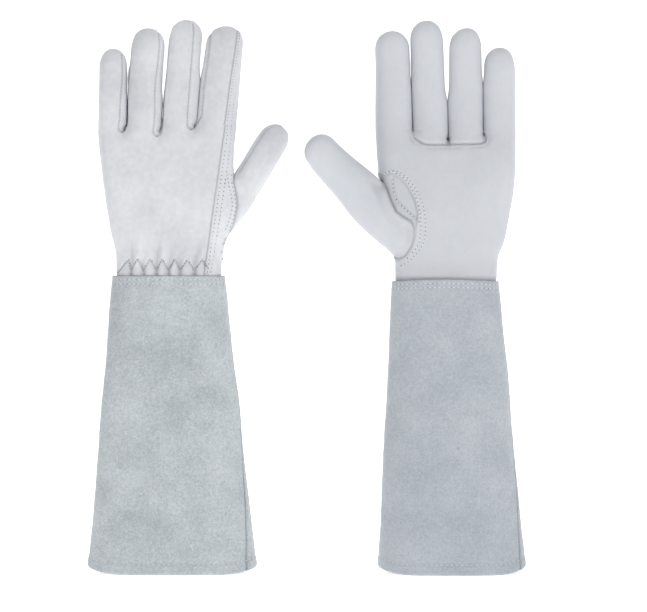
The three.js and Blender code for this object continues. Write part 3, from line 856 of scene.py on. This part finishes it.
    # the thumb's seam, down the back and round the side to the palm
    inside = thumbInside(look, x, z, smooth((points[:, 1] + 5) / 10))
    sunk = inside * (z < 90)
    backEdge = awayFrom(x, z, look["backEdge"])
    facing = np.maximum(smooth((np.abs(points[:, 1]) - 4) / 3), smooth((z - 22) / 8))
    facing = np.maximum(facing, 0.3)
    lift += isBack * (z < 76) * 0.35 * bell(backEdge - 1.2, 1.2)
    lift -= 2.9 * facing * smooth((sunk + 0.2) / 2.0)
    sunk = np.where(facing > 0.95, sunk, np.minimum(sunk, 0))
    # painted shade along the thumb seam's groove on the back
    crease += isBack * (z < 72) * 0.65 * bell(backEdge, 0.7) * smooth((z - 14) / 8)
    return lift, crease, gusset, oval, sunk


class Thumb:
    def __init__(self, shape):
        look = shape.look
        self.shape, self.look = shape, look
        name = shape.name
        self.pivot = toGlove(name, joints[f"{name}_thumb_knuckle"]["pos_m"])[[0, 2]]
        self.fold = toGlove(name, joints[f"{name}_thumb_middle_fold"]["pos_m"])[[0, 2]]
        last = look["thumbStations"][-1]
        across = np.array([last[0] - last[2], last[1] - last[3]])
        across /= np.linalg.norm(across)
        self.up = np.array([-across[1], across[0]])
        self.foldAt = float((self.fold - self.pivot) @ self.up)
        self.crotch = np.array(look["crotch"])

    def reach(self, x, z):  # along the thumb, from its first fold
        return (x - self.pivot[0]) * self.up[0] + (z - self.pivot[1]) * self.up[1]

    def middleY(self, reach):
        slope = np.where(reach > 0, 0.25, 0.17)
        return self.look["thumbY"] + slope * reach + 0.095 * softRamp(reach - self.foldAt, 6)


thumbLook = {"columns": 40, "rows": 112, "power": 2.2, "fairing": 11.0, "cut": 8.0, "depths": (12.6, 11.0)}


def buildThumb(shape):
    thumb, look = Thumb(shape), shape.look
    stations = along(look["thumbStations"], thumbLook["rows"])
    outer, inner = stations[:, :2], stations[:, 2:]
    turn = np.linspace(0, np.pi / 2, 19)[1:-1, None]
    middle, half = (outer + inner) / 2, (outer - inner) / 2
    middle = np.vstack([middle, middle[-1] + thumb.up * look["thumbDome"] * np.sin(turn)])
    half = np.vstack([half, half[-1] * np.cos(turn) ** 0.92])
    shrink = np.concatenate([np.ones(len(stations)), np.cos(turn[:, 0]) ** 0.8])[:, None]
    spread = columnPlaces(thumbLook["columns"])
    s = np.concatenate([spread, spread[::-1][1:-1]])
    side = np.concatenate([np.full(len(spread), -1), np.full(len(spread) - 2, 1)])
    x = middle[:, :1] + half[:, :1] * s
    z = middle[:, 1:] + half[:, 1:] * s
    reach = thumb.reach(x, z)
    rowReach = thumb.reach(middle[:, 0], middle[:, 1])[:, None]
    depth = np.interp(rowReach, [0, 52], thumbLook["depths"]) * shrink
    y = thumb.middleY(rowReach) + side * depth * rounded(s, thumbLook["power"])

    # the root lies on the hand along the seam and dives under it beyond
    near = np.minimum(x, shape.right(z) - 2.5)
    flat = side * depth * rounded(s, thumbLook["power"])
    inside = thumbInside(look, x, z, smooth((flat + 5) / 10))
    handY = shape.palmHeight(near, z, side + 0 * z)
    dip = np.where(side > 0, -0.75, -0.1)
    fair = handY + side * (dip + 0.55 * bell(inside - 2.4, 1.8))
    below = 1 - smooth((z - (thumb.crotch[1] - 8)) / 12)
    outerSide = np.where(s > 0, rounded(s, 3.0), 1.0)
    weight = (1 - smooth(inside / thumbLook["fairing"])) * below * outerSide
    joined = lerp(y, fair, weight)
    dive = np.minimum(3.4, 1.25 * np.maximum(-inside, 0)) * below
    sideways = np.sign(s) * np.abs(s) ** 1.2 / np.hypot(*half.T)[:, None]
    facing = side * rounded(s, thumbLook["power"]) ** 1.2 / depth
    size = np.hypot(sideways, facing)
    y = np.where(inside > 0, joined, lerp(y, fair, below)) - dive * facing / size
    x = x - dive * (s > 0) * sideways / size
    grid = np.stack([x, y, z], -1)
    ids = np.arange(x.size).reshape(x.shape)
    pole = x.size
    tip = middle[-1] + thumb.up * look["thumbDome"] * (1 - math.sin(turn[-1, 0]))
    end = [tip[0], thumb.middleY(thumb.reach(*tip)), tip[1]]
    points = np.vstack([grid.reshape(-1, 3), [end]])
    whole = np.concatenate([ids, ids[:, :1]], 1)
    poles = np.full(len(s), pole)
    cap = np.stack([whole[-1, :-1], whole[-1, 1:], poles, poles], -1)
    quads = np.vstack([gridQuads(whole), cap])
    buried = np.append(np.where(inside < 0, -inside, 0).ravel() * (z.ravel() < thumb.crotch[1]), 0)
    sides = np.append(np.tile(side, len(x)), 0)
    insides = np.append(inside.ravel(), 50)
    rowUp = np.append((rowReach > thumb.foldAt - thumbLook["cut"]).repeat(len(s), 1).ravel(), True)
    fromInner = np.append((np.hypot(*half.T)[:, None] * (s + 1)).ravel(), 20)
    return thumb, points, quads, buried, sides, insides, rowUp, fromInner


def thumbRelief(shape, points, sides, insides, fromInner):
    seed = shape.look["seed"]
    lift = 0.4 * wander(points, 22, seed + 7) + 0.14 * wander(points, 8, seed + 9)
    # painted shade along the thumb's seam and along the groove beside it on the back
    crease = 0.6 * bell(insides, 1.0) * (points[:, 2] < 72)
    back = (sides < 0) * smooth((insides - 2) / 3)
    lift += back * (0.45 * bell(fromInner - 1.2, 1.0) - 0.9 * bell(fromInner - 2.9, 0.7))
    crease += back * 0.4 * bell(fromInner - 2.9, 0.6)
    return lift, crease


# stitches: one node tree lays them along any line that lies on the leather

def stitchTree():
    tree = bpy.data.node_groups.new("stitches", "GeometryNodeTree")
    face = tree.interface
    face.new_socket("Geometry", in_out="INPUT", socket_type="NodeSocketGeometry")
    sizes = {}
    usual = {"Pitch": 0.0034, "Length": 0.0026, "Thickness": 0.0008, "Sink": 0.0001, "Jitter": 0.06,
             "Start": 0.0, "Flatness": 1.0}
    for label, value in usual.items():
        socket = face.new_socket(label, in_out="INPUT", socket_type="NodeSocketFloat")
        socket.default_value = value
        sizes[label] = socket.identifier
    seed = face.new_socket("Seed", in_out="INPUT", socket_type="NodeSocketInt")
    sizes["Seed"] = seed.identifier
    material = face.new_socket("Material", in_out="INPUT", socket_type="NodeSocketMaterial")
    sizes["Material"] = material.identifier
    face.new_socket("Geometry", in_out="OUTPUT", socket_type="NodeSocketGeometry")
    nodes, links = tree.nodes, tree.links

    def node(kind, settings=None, inputs=None):
        made = nodes.new(kind)
        for key, value in (settings or {}).items():
            setattr(made, key, value)
        for key, value in (inputs or {}).items():
            if isinstance(value, bpy.types.NodeSocket):
                links.new(value, made.inputs[key])
            else:
                made.inputs[key].default_value = value
        return made

    start = node("NodeGroupInput")
    given = {s.name: s for s in start.outputs if s.name}
    curve = node("GeometryNodeMeshToCurve", {}, {"Mesh": given["Geometry"]})
    spots = node("GeometryNodeCurveToPoints", {"mode": "LENGTH"},
                 {"Curve": curve.outputs[0], "Length": given["Pitch"]})
    facing = node("GeometryNodeInputNamedAttribute", {"data_type": "FLOAT_VECTOR"}, {"Name": "facing"})
    turn = node("FunctionNodeAxesToRotation", {"primary_axis": "Z", "secondary_axis": "X"},
                {0: facing.outputs[0], 1: spots.outputs["Tangent"]})
    sunk = node("ShaderNodeMath", {"operation": "MULTIPLY"}, {0: given["Sink"], 1: -1.0})
    shift = node("ShaderNodeVectorMath", {"operation": "SCALE"},
                 {0: facing.outputs[0], "Scale": sunk.outputs[0]})
    ahead = node("ShaderNodeMath", {"operation": "MULTIPLY"}, {0: given["Pitch"], 1: given["Start"]})
    onward = node("ShaderNodeVectorMath", {"operation": "SCALE"},
                  {0: spots.outputs["Tangent"], "Scale": ahead.outputs[0]})
    both = node("ShaderNodeVectorMath", {"operation": "ADD"}, {0: shift.outputs[0], 1: onward.outputs[0]})
    moved = node("GeometryNodeSetPosition", {}, {"Geometry": spots.outputs[0], "Offset": both.outputs[0]})
    low = node("ShaderNodeMath", {"operation": "SUBTRACT"}, {0: 1.0, 1: given["Jitter"]})
    high = node("ShaderNodeMath", {"operation": "ADD"}, {0: 1.0, 1: given["Jitter"]})
    chance = node("FunctionNodeRandomValue", {"data_type": "FLOAT"},
                  {2: low.outputs[0], 3: high.outputs[0], "Seed": given["Seed"]})
    long = node("ShaderNodeMath", {"operation": "MULTIPLY"}, {0: given["Length"], 1: chance.outputs[1]})
    thin = node("ShaderNodeMath", {"operation": "MULTIPLY"}, {0: given["Thickness"], 1: given["Flatness"]})
    size = node("ShaderNodeCombineXYZ", {},
                {0: long.outputs[0], 1: given["Thickness"], 2: thin.outputs[0]})
    bead = node("GeometryNodeMeshUVSphere", {}, {"Segments": 8, "Rings": 5, "Radius": 0.5})
    soft = node("GeometryNodeSetShadeSmooth", {}, {0: bead.outputs[0]})
    placed = node("GeometryNodeInstanceOnPoints", {}, {
        "Points": moved.outputs[0],
        "Instance": soft.outputs[0],
        "Rotation": turn.outputs[0],
        "Scale": size.outputs[0],
    })
    real = node("GeometryNodeRealizeInstances", {}, {"Geometry": placed.outputs[0]})
    painted = node("GeometryNodeSetMaterial", {},
                   {"Geometry": real.outputs[0], "Material": given["Material"]})
    node("NodeGroupOutput", {}, {"Geometry": painted.outputs[0]})
    return tree, sizes


stitches, stitchInputs = stitchTree()


class Ground:  # a finished surface that stitches are laid on
    def __init__(self, points, quads):
        faces = [list(dict.fromkeys(q)) for q in quads.tolist()]
        self.tree = BVHTree.FromPolygons(points.tolist(), faces)

    def over(self, path, side):  # the path's places (x, z) on the outside that faces side
        found = []
        for x, z in path:
            spot, normal, _, _ = self.tree.ray_cast(Vector((x, side * 80, z)), Vector((0, -side, 0)))
            if spot is not None:
                found.append((*spot, *normal))
        return np.array(found)

    def nearest(self, path):
        found = []
        for p in path:
            spot, normal, _, _ = self.tree.find_nearest(Vector(p))
            found.append((*spot, *normal))
        return np.array(found)


def stitchRows(name, glove, rows, sizes, material=None):
    side = looks[glove]["side"]
    points, edges, facing = [], [], []
    for row in rows:
        start = len(points)
        points += toWorld(glove, row[:, :3]).tolist()
        facing += (row[:, 3:] * [side, side, 1]).tolist()
        edges += [(start + k, start + k + 1) for k in range(len(row) - 1)]
    mesh = bpy.data.meshes.new(name)
    mesh.from_pydata(points, edges, [])
    attribute = mesh.attributes.new("facing", "FLOAT_VECTOR", "POINT")
    attribute.data.foreach_set("vector", np.ravel(facing))
    line = bpy.data.objects.new(name + "_line", mesh)
    bpy.context.scene.collection.objects.link(line)
    modifier = line.modifiers.new("stitches", "NODES")
    modifier.node_group = stitches
    given = {"Material": material or threadFinish, "Seed": looks[glove]["seed"], **sizes}
    for label, value in given.items():
        modifier[stitchInputs[label]] = value
    made = bpy.data.meshes.new_from_object(line.evaluated_get(bpy.context.evaluated_depsgraph_get()))
    bpy.data.objects.remove(line)
    obj = bpy.data.objects.new(name, made)
    bpy.context.scene.collection.objects.link(obj)
    return obj


def offsetPath(path, out):  # the same line, moved out mm to its right
    p = np.array(path, float)
    way = np.gradient(p, axis=0)
    way /= np.linalg.norm(way, axis=1, keepdims=True)
    return p + out * np.column_stack([way[:, 1], -way[:, 0]])


# putting a hand together

def hole(stitch, length, thickness):  # painted shade: dark beads in the needle's holes, which lie half a stitch on, between the threads
    return {"Pitch": stitch["Pitch"], "Length": length, "Thickness": thickness, "Flatness": 0.3,
            "Sink": 0.0001, "Start": 0.5}


handStitch = {"Pitch": 0.0034, "Length": 0.0025, "Thickness": 0.0009, "Sink": 0.00015}
indexStitch = {"Pitch": 0.0027, "Length": 0.0018, "Thickness": 0.0008, "Sink": 0.0002}
indexHole = hole(indexStitch, 0.0011, 0.0010)
indexRows = [(1.9, 200.0), (5.2, 128.0)]  # each row's place beside the seam and where it ends
zigzagStitch = {"Pitch": 0.0023, "Length": 0.0014, "Thickness": 0.0008, "Sink": 0.0003}
handHole = hole(handStitch, 0.0012, 0.0012)
zigzagHole = hole(zigzagStitch, 0.0014, 0.0012)


def bendAtWrist(obj, name):
    low, high = (toWorld(name, (0, 0, z)) for z in hand["wristBlend"])
    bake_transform(obj)


def bendFinger(obj, name, shape, f, label):
    cut = shape.folds[f] - hand["cutBelowFold"]
    if label == "lower":
        heights = (max(shape.webZ[f], shape.webZ[f + 1]) + 0.8, cut - 2.6)
    else:
        heights = (cut + 2.2, shape.folds[f] + 14)
    start, end = (toWorld(name, (0, 0, z)) for z in heights)
    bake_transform(obj)


def makeHand(name):
    shape, points, tags, quads, pieceOf = buildHand(name)
    normals = pointNormals(points, quads)
    lift, crease, gusset, oval, sunk = relief(shape, points, tags)
    points = points + normals * lift[:, None]
    normals = pointNormals(points, quads)
    second = np.full(len(points), shape.look["seed"] - 1.0)
    values = {"crease": np.clip(crease, 0, 1), "gusset": gusset, "second": second}

    isPalm = pieceOf == 0
    hidden = isPalm & (sunk[quads].min(1) > 4.0)
    onFront = tags[quads, 2].mean(1) > 0.5
    aboveCuff = points[quads, 2].mean(1) > -12
    onGusset = isPalm & onFront & aboveCuff & (oval[quads].mean(1) < -0.6)
    names = {0: "hand_leather"}
    for f, finger in enumerate(fingerNames):
        names[2 * f + 1], names[2 * f + 2] = f"{finger}_lower", f"{finger}_upper"
    pieceOf = np.where(onGusset, 9, pieceOf)
    names[9] = "thumb_gusset"

    def piece(number):
        mine = (pieceOf == number) & ~hidden
        obj = leatherPiece(f"{name}_{names[number]}", name, points, normals, quads[mine],
                           hand["leather"], leatherFinish, values)
        return obj

    palm = piece(0)
    bendAtWrist(palm, name)
    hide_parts(f"{name}_hand_skin", f"{name}_wrist_skin")
    patch = piece(9)
    bendAtWrist(patch, name)
    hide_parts(f"{name}_thumb_gusset")
    for f, finger in enumerate(fingerNames):
        lower, upper = piece(2 * f + 1), piece(2 * f + 2)
        bendFinger(lower, name, shape, f, "lower")
        bendFinger(upper, name, shape, f, "upper")
        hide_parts(f"{name}_{finger}_back", f"{name}_{finger}_front")
        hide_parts(f"{name}_{finger}_tip_back", f"{name}_{finger}_tip_front")

    ground = Ground(points, quads[~hidden])
    makeThumb(name, shape)
    stitchHand(name, shape, ground)
    makeBand(name, shape)
    print(f"glove {name}: hand and fingers made, {len(points)} points")


def makeThumb(name, shape):
    thumb, points, quads, buried, sides, insides, rowUp, fromInner = buildThumb(shape)
    normals = pointNormals(points, quads)
    lift, crease = thumbRelief(shape, points, sides, insides, fromInner)
    points = points + normals * lift[:, None]
    normals = pointNormals(points, quads)
    upper = rowUp[quads].any(1)
    hidden = buried[quads].min(1) > 3.5
    second = np.full(len(points), shape.look["seed"] - 1.0)
    values = {"crease": crease, "gusset": np.zeros(len(points)), "second": second}
    cut = thumb.foldAt - thumbLook["cut"]

    def at(reach):
        x, z = thumb.pivot + thumb.up * reach
        return toWorld(name, (x, 0, z))

    def piece(label, mine):
        return leatherPiece(f"{name}_thumb_{label}", name, points, normals, quads[mine],
                            hand["leather"], leatherFinish, values)

    low = piece("lower", ~upper & ~hidden)
    start = thumb.reach(*thumb.crotch) + 1.5
    at(start)
    at(cut - 2.5)
    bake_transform(low)
    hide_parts(f"{name}_thumb_root", f"{name}_thumb_tube")
    high = piece("upper", upper)
    start, end = at(cut + 2.5), at(thumb.foldAt + 10)
    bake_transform(high)
    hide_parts(f"{name}_thumb_tip_tube")


def stitchHand(name, shape, ground):
    look = shape.look
    heights = np.linspace(-15, 101, 160)
    lap = []
    for out in hand["lapRows"]:
        away = out * np.interp(heights, [-15, 40], [0.8, 1.0])
        lap.append(ground.over(np.column_stack([lapX(heights) + away, heights]), -1))
    seam = stitchRows(f"{name}_back_seam_stitches", name, lap, handStitch)
    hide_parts(f"{name}_back_seam_thread")
    zigzag = ground.over(along(zigzagPath(look), 300), -1)
    band = stitchRows(f"{name}_wrist_stitches", name, [zigzag], zigzagStitch)
    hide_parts(f"{name}_zigzag_thread")
    rows = [ground.over(along(palmPath(look, key), 200), 1)
            for key in ("outerRow", "innerRow", "gussetRow")]
    backEdge = along(look["backEdge"][1:-3], 160)
    rows += [ground.over(offsetPath(backEdge, out)[18:-6], -1) for out in (1.5, 4.4)]
    oval = stitchRows(f"{name}_thumb_stitches", name, rows, handStitch)
    # painted shade: dark beads in the needle holes of these rows
    holes = stitchRows(f"{name}_needle_holes", name, lap + rows, handHole, holeShadeFinish)
    wristHoleShades = stitchRows(f"{name}_wrist_holes", name, [zigzag], zigzagHole, holeShadeFinish)
    for obj in (seam, band, oval, holes, wristHoleShades):
        bendAtWrist(obj, name)
    stitchIndex(name, shape, ground)


def stitchIndex(name, shape, ground):  # the closing seam's rows go on up the index finger
    tipZ = shape.look["tips"][3][2] - 8
    cut = shape.folds[3] - hand["cutBelowFold"]
    for label, low, high in (("lower", 104.0, cut - 1.5), ("upper", cut + 1.5, tipZ)):
        rows = []
        for out, last in indexRows:
            z = np.linspace(low, min(high, last), 90)
            if z[-1] > low:
                edges = shape.fingerEdges(np.full(90, 3), z)
                half = (edges[1] - edges[0]) / 2
                x = edges[0] + half + seamShare(shape, 3, z) * half
                rows.append(ground.over(np.column_stack([x + out, z]), -1))
        # painted shade: the second kind lays dark beads in the needle holes
        kinds = (("stitches", indexStitch, threadFinish), ("holes", indexHole, holeShadeFinish))
        for kind, sizes, material in kinds:
            obj = stitchRows(f"{name}_index_{label}_{kind}", name, rows, sizes, material)
            bendFinger(obj, name, shape, 3, label)


elasticBand = {
    "from": -37.0,
    "to": 28.0,
    "low": -15.0,
    "high": -7.0,
    "inset": 4.1,
    "thickness": 0.8,
}


def makeBand(name, shape):
    x = np.linspace(elasticBand["from"], elasticBand["to"], 90)
    z = np.linspace(elasticBand["low"], elasticBand["high"], 9)[:, None] + 0 * x
    x = x + 0 * z
    y = shape.palmHeight(x, z, -1 + 0 * z) + elasticBand["inset"] + 0.25 * np.sin(x * 1.9)
    points = np.stack([x, y, z], -1).reshape(-1, 3)
    quads = gridQuads(np.arange(x.size).reshape(x.shape))
    obj = leatherPiece(f"{name}_wrist_band", name, points, pointNormals(points, quads), quads,
                       elasticBand["thickness"], elasticFinish, {})
    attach(obj, f"{name}_cuff")
    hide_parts(f"{name}_wrist_elastic")


# the cuffs

cuffLook = {
    "length": 252.0,
    "topBelowWrist": 18.0,
    "power": 2.4,
    "suede": 1.6,
    "hem": 14.0,
    "hemRise": 6.0,
    "hemFlat": 0.5,
    "twistBelow": 0.76,
    "columns": 96,
    "rows": 130,
    "rowHeights": (9.0, 245.2, 248.7),
    "arch": 0.5,  # how much of the drop the palm's middle makes up for
}
topStitch = {"Pitch": 0.0040, "Length": 0.0029, "Thickness": 0.0009, "Sink": 0.0002}
topHole = hole(topStitch, 0.0010, 0.0009)
hemStitch = {"Pitch": 0.0042, "Length": 0.0030, "Thickness": 0.0009, "Sink": 0.0002}


def cuffPoint(cuff, angle, h):
    t = 1 - h / cuffLook["length"]
    w = lerp(cuff["topWidth"], cuff["mouthWidth"], t) / 2
    d = lerp(cuff["topDepth"], cuff["mouthDepth"], t) / 2
    c, s = np.cos(angle), np.sin(angle)
    power = cuffLook["power"]
    reach = (np.abs(c) ** power + np.abs(s) ** power) ** (-1 / power)
    climb = np.clip((np.abs(c) - cuffLook["hemFlat"]) / (1 - cuffLook["hemFlat"]), 0, 1) ** 2
    z = h + cuffLook["hemRise"] * climb * t - cuffLook["length"] - cuffLook["topBelowWrist"]
    return np.stack([cuff["mouthShift"] * t + w * reach * c, d * reach * s, z + 0 * w], -1)


def makeCuff(name):
    look = looks[name]
    cuff, length = look["cuff"], cuffLook["length"]
    atHem = [0, 0.5, 1.1, 1.9, 3, 4.5, 6, 7.4, 8.2, 9, 9.8, 10.6, 12, 13.4, 14.6]
    atTop = length - np.array([6.6, 5.8, 5.0, 4.0, 3.2, 2.6, 1.8, 0.9, 0.35, 0])
    between = np.linspace(17, length - 8, cuffLook["rows"])
    rows = np.concatenate([atHem, between, atTop])[:, None]
    share = np.linspace(0, 1, cuffLook["columns"] + 1)
    edges = np.array([0.003, 0.008, 0.016])
    share = np.sort(np.concatenate([share, edges, 1 - edges]))
    twist = np.radians(cuff["seamTwist"]) * np.clip(1 - rows / length / cuffLook["twistBelow"], 0, 1)
    panels = {}
    for label, start in (("palm", 0.0), ("back", np.pi)):
        angle = start - twist + np.pi * share
        points = cuffPoint(cuff, angle, rows + 0 * angle)
        ids = np.arange(angle.size).reshape(angle.shape)
        quads = gridQuads(ids)
        flat = points.reshape(-1, 3)
        normals = pointNormals(flat, quads)
        h = (rows + 0 * angle).ravel()
        across = np.minimum(share, 1 - share) * (cuff["topWidth"] + 30)
        across = (across + 0 * rows).ravel()
        free = smooth((length - h) / 40) * smooth((h - 2) / 30) * 0.8 + 0.2
        slack = 1.3 * wander(flat, 62, look["seed"] + 20) + 0.45 * wander(flat, 24, look["seed"] + 22)
        lift = free * slack
        lift += 0.18 * wander(flat, 6, look["seed"] + 24)
        lift -= 0.95 * bell(across, 1.2) - 0.3 * bell(across - 3, 1.6)
        lift += 0.5 * (1 - smooth((h - 8) / 2)) - 0.22 * bell(h - 9, 0.9) - 0.9 * bell(h, 0.8)
        lift -= 0.3 * (bell(h - cuffLook["rowHeights"][1], 0.7) + bell(h - cuffLook["rowHeights"][2], 0.7))
        lift -= 0.35 * bell(h - length, 0.5)
        flat = flat + normals * lift[:, None]
        level = flat * [1, 1, 0]
        rough = 0.35 * wander(level, 7, look["seed"] + 30) + 0.25 * wander(level, 2.2, 3)
        flat[:, 2] += rough * smooth((h - length + 3) / 3)
        arch = look["topDrop"] * (cuffLook["arch"] * (1 - (flat[:, 0] / 48) ** 2) * (label == "palm") - 1)
        flat[:, 2] += arch * smooth((h - length + 60) / 60)
        normals = pointNormals(flat, quads)
        # painted shade along the side seam, in the hem's fold and under the raw top edge
        crease = 0.8 * bell(across, 0.9) + 0.12 * bell(h - 9, 0.8) + 0.45 * bell(h - length, 0.7)
        crease = np.clip(crease, 0, 1)
        wall = cuffLook["suede"] * (2 - smooth((h - cuffLook["hem"] + 0.8) / 0.8))
        values = {"crease": crease, "second": np.full(len(flat), look["seed"] - 1.0)}
        obj = leatherPiece(f"{name}_cuff_{label}", name, flat, normals, quads, wall[:, None],
                           suedeFinish, values)
        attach(obj, f"{name}_cuff")
        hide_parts(f"{name}_cuff_{label}_panel")
        panels[label] = (flat, quads)
    (palm, palmQuads), (back, backQuads) = panels["palm"], panels["back"]
    ground = Ground(np.vstack([palm, back]), np.vstack([palmQuads, backQuads + len(palm)]))
    around = np.linspace(0, 2 * np.pi, 241)
    rings = [cuffPoint(cuff, around, h + 0 * around) for h in cuffLook["rowHeights"]]
    for ring in rings[1:]:
        onPalm = smooth(np.sin(around) * 4)
        ring[:, 2] += look["topDrop"] * (cuffLook["arch"] * (1 - (ring[:, 0] / 48) ** 2) * onPalm - 1)
    hem, low, high = (ground.nearest(ring) for ring in rings)
    for label, rows, sizes, nodes in (
        ("hem", [hem], hemStitch, ["hem"]),
        ("top", [low, high], topStitch, ["upper_top", "lower_top"]),
    ):
        obj = stitchRows(f"{name}_cuff_{label}_stitches", name, rows, sizes)
        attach(obj, f"{name}_cuff")
        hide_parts(*[f"{name}_cuff_{n}_thread" for n in nodes])
    # painted shade: dark beads in the top rows' needle holes
    holes = stitchRows(f"{name}_cuff_needle_holes", name, [low, high], topHole, holeShadeFinish)
    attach(holes, f"{name}_cuff")
    print(f"glove {name}: cuff made")


for gloveName in looks:
    makeHand(gloveName)
    makeCuff(gloveName)


# floor, light and camera

studio = {
    "floor": srgb(250, 250, 250),
    "floorGlow": 0.7,
    "world": 0.33,
    "cameraAt": (0.0143, 0.2278),
    "cameraBack": 2.6,
    "viewWide": 0.5519,
    "lights": [  # name, place, size, watts
        ("key", (1.2, -1.5, 1.7), 0.8, 13.0),
        ("fill", (-1.5, -1.7, 0.5), 1.4, 3.0),
        ("top", (-0.1, -0.1, 2.1), 1.0, 5.0),
    ],
}


def makeStudio():
    floorFinish = bpy.data.materials.new("floor")
    floorFinish.use_nodes = True
    surface = floorFinish.node_tree.nodes["Principled BSDF"]
    surface.inputs["Base Color"].default_value = studio["floor"]
    surface.inputs["Roughness"].default_value = 0.9
    surface.inputs["Emission Color"].default_value = (1, 1, 1, 1)
    surface.inputs["Emission Strength"].default_value = studio["floorGlow"]
    run = [(-6.0, 0), (2.0, 0), (2.9, 0.1), (3.5, 0.4), (3.9, 1.0), (4.0, 2.0), (4.0, 8.0)]
    points = [(x, y, z) for y, z in run for x in (-10.0, 10.0)]
    faces = [(2 * k, 2 * k + 1, 2 * k + 3, 2 * k + 2) for k in range(len(run) - 1)]
    floor = makeMesh("floor", np.array(points), faces, floorFinish)
    world = bpy.data.worlds.new("studio")
    bpy.context.scene.world = world
    world.use_nodes = True
    background = world.node_tree.nodes["Background"]
    background.inputs["Color"].default_value = (1, 1, 1, 1)
    background.inputs["Strength"].default_value = studio["world"]
    for label, spot, size, watts in studio["lights"]:
        light = bpy.data.lights.new(label, "AREA")
        light.size = size
        light.energy = watts
        lamp = bpy.data.objects.new(label, light)
        lamp.location = spot
        lamp.rotation_euler = (Vector((0, 0, 0.25)) - Vector(spot)).to_track_quat("-Z", "Y").to_euler()
        bpy.context.scene.collection.objects.link(lamp)
    camera = bpy.data.cameras.new("camera")
    camera.sensor_width = 36
    camera.lens = 36 * studio["cameraBack"] / studio["viewWide"]
    camera.clip_end = 20
    eye = bpy.data.objects.new("camera", camera)
    x, z = studio["cameraAt"]
    eye.location = (x, -studio["cameraBack"], z)
    eye.rotation_euler = (math.radians(90), 0, 0)
    bpy.context.scene.collection.objects.link(eye)
    bpy.context.scene.camera = eye


bpy.context.scene.view_settings.view_transform = "Standard"
makeStudio()
print("studio made")
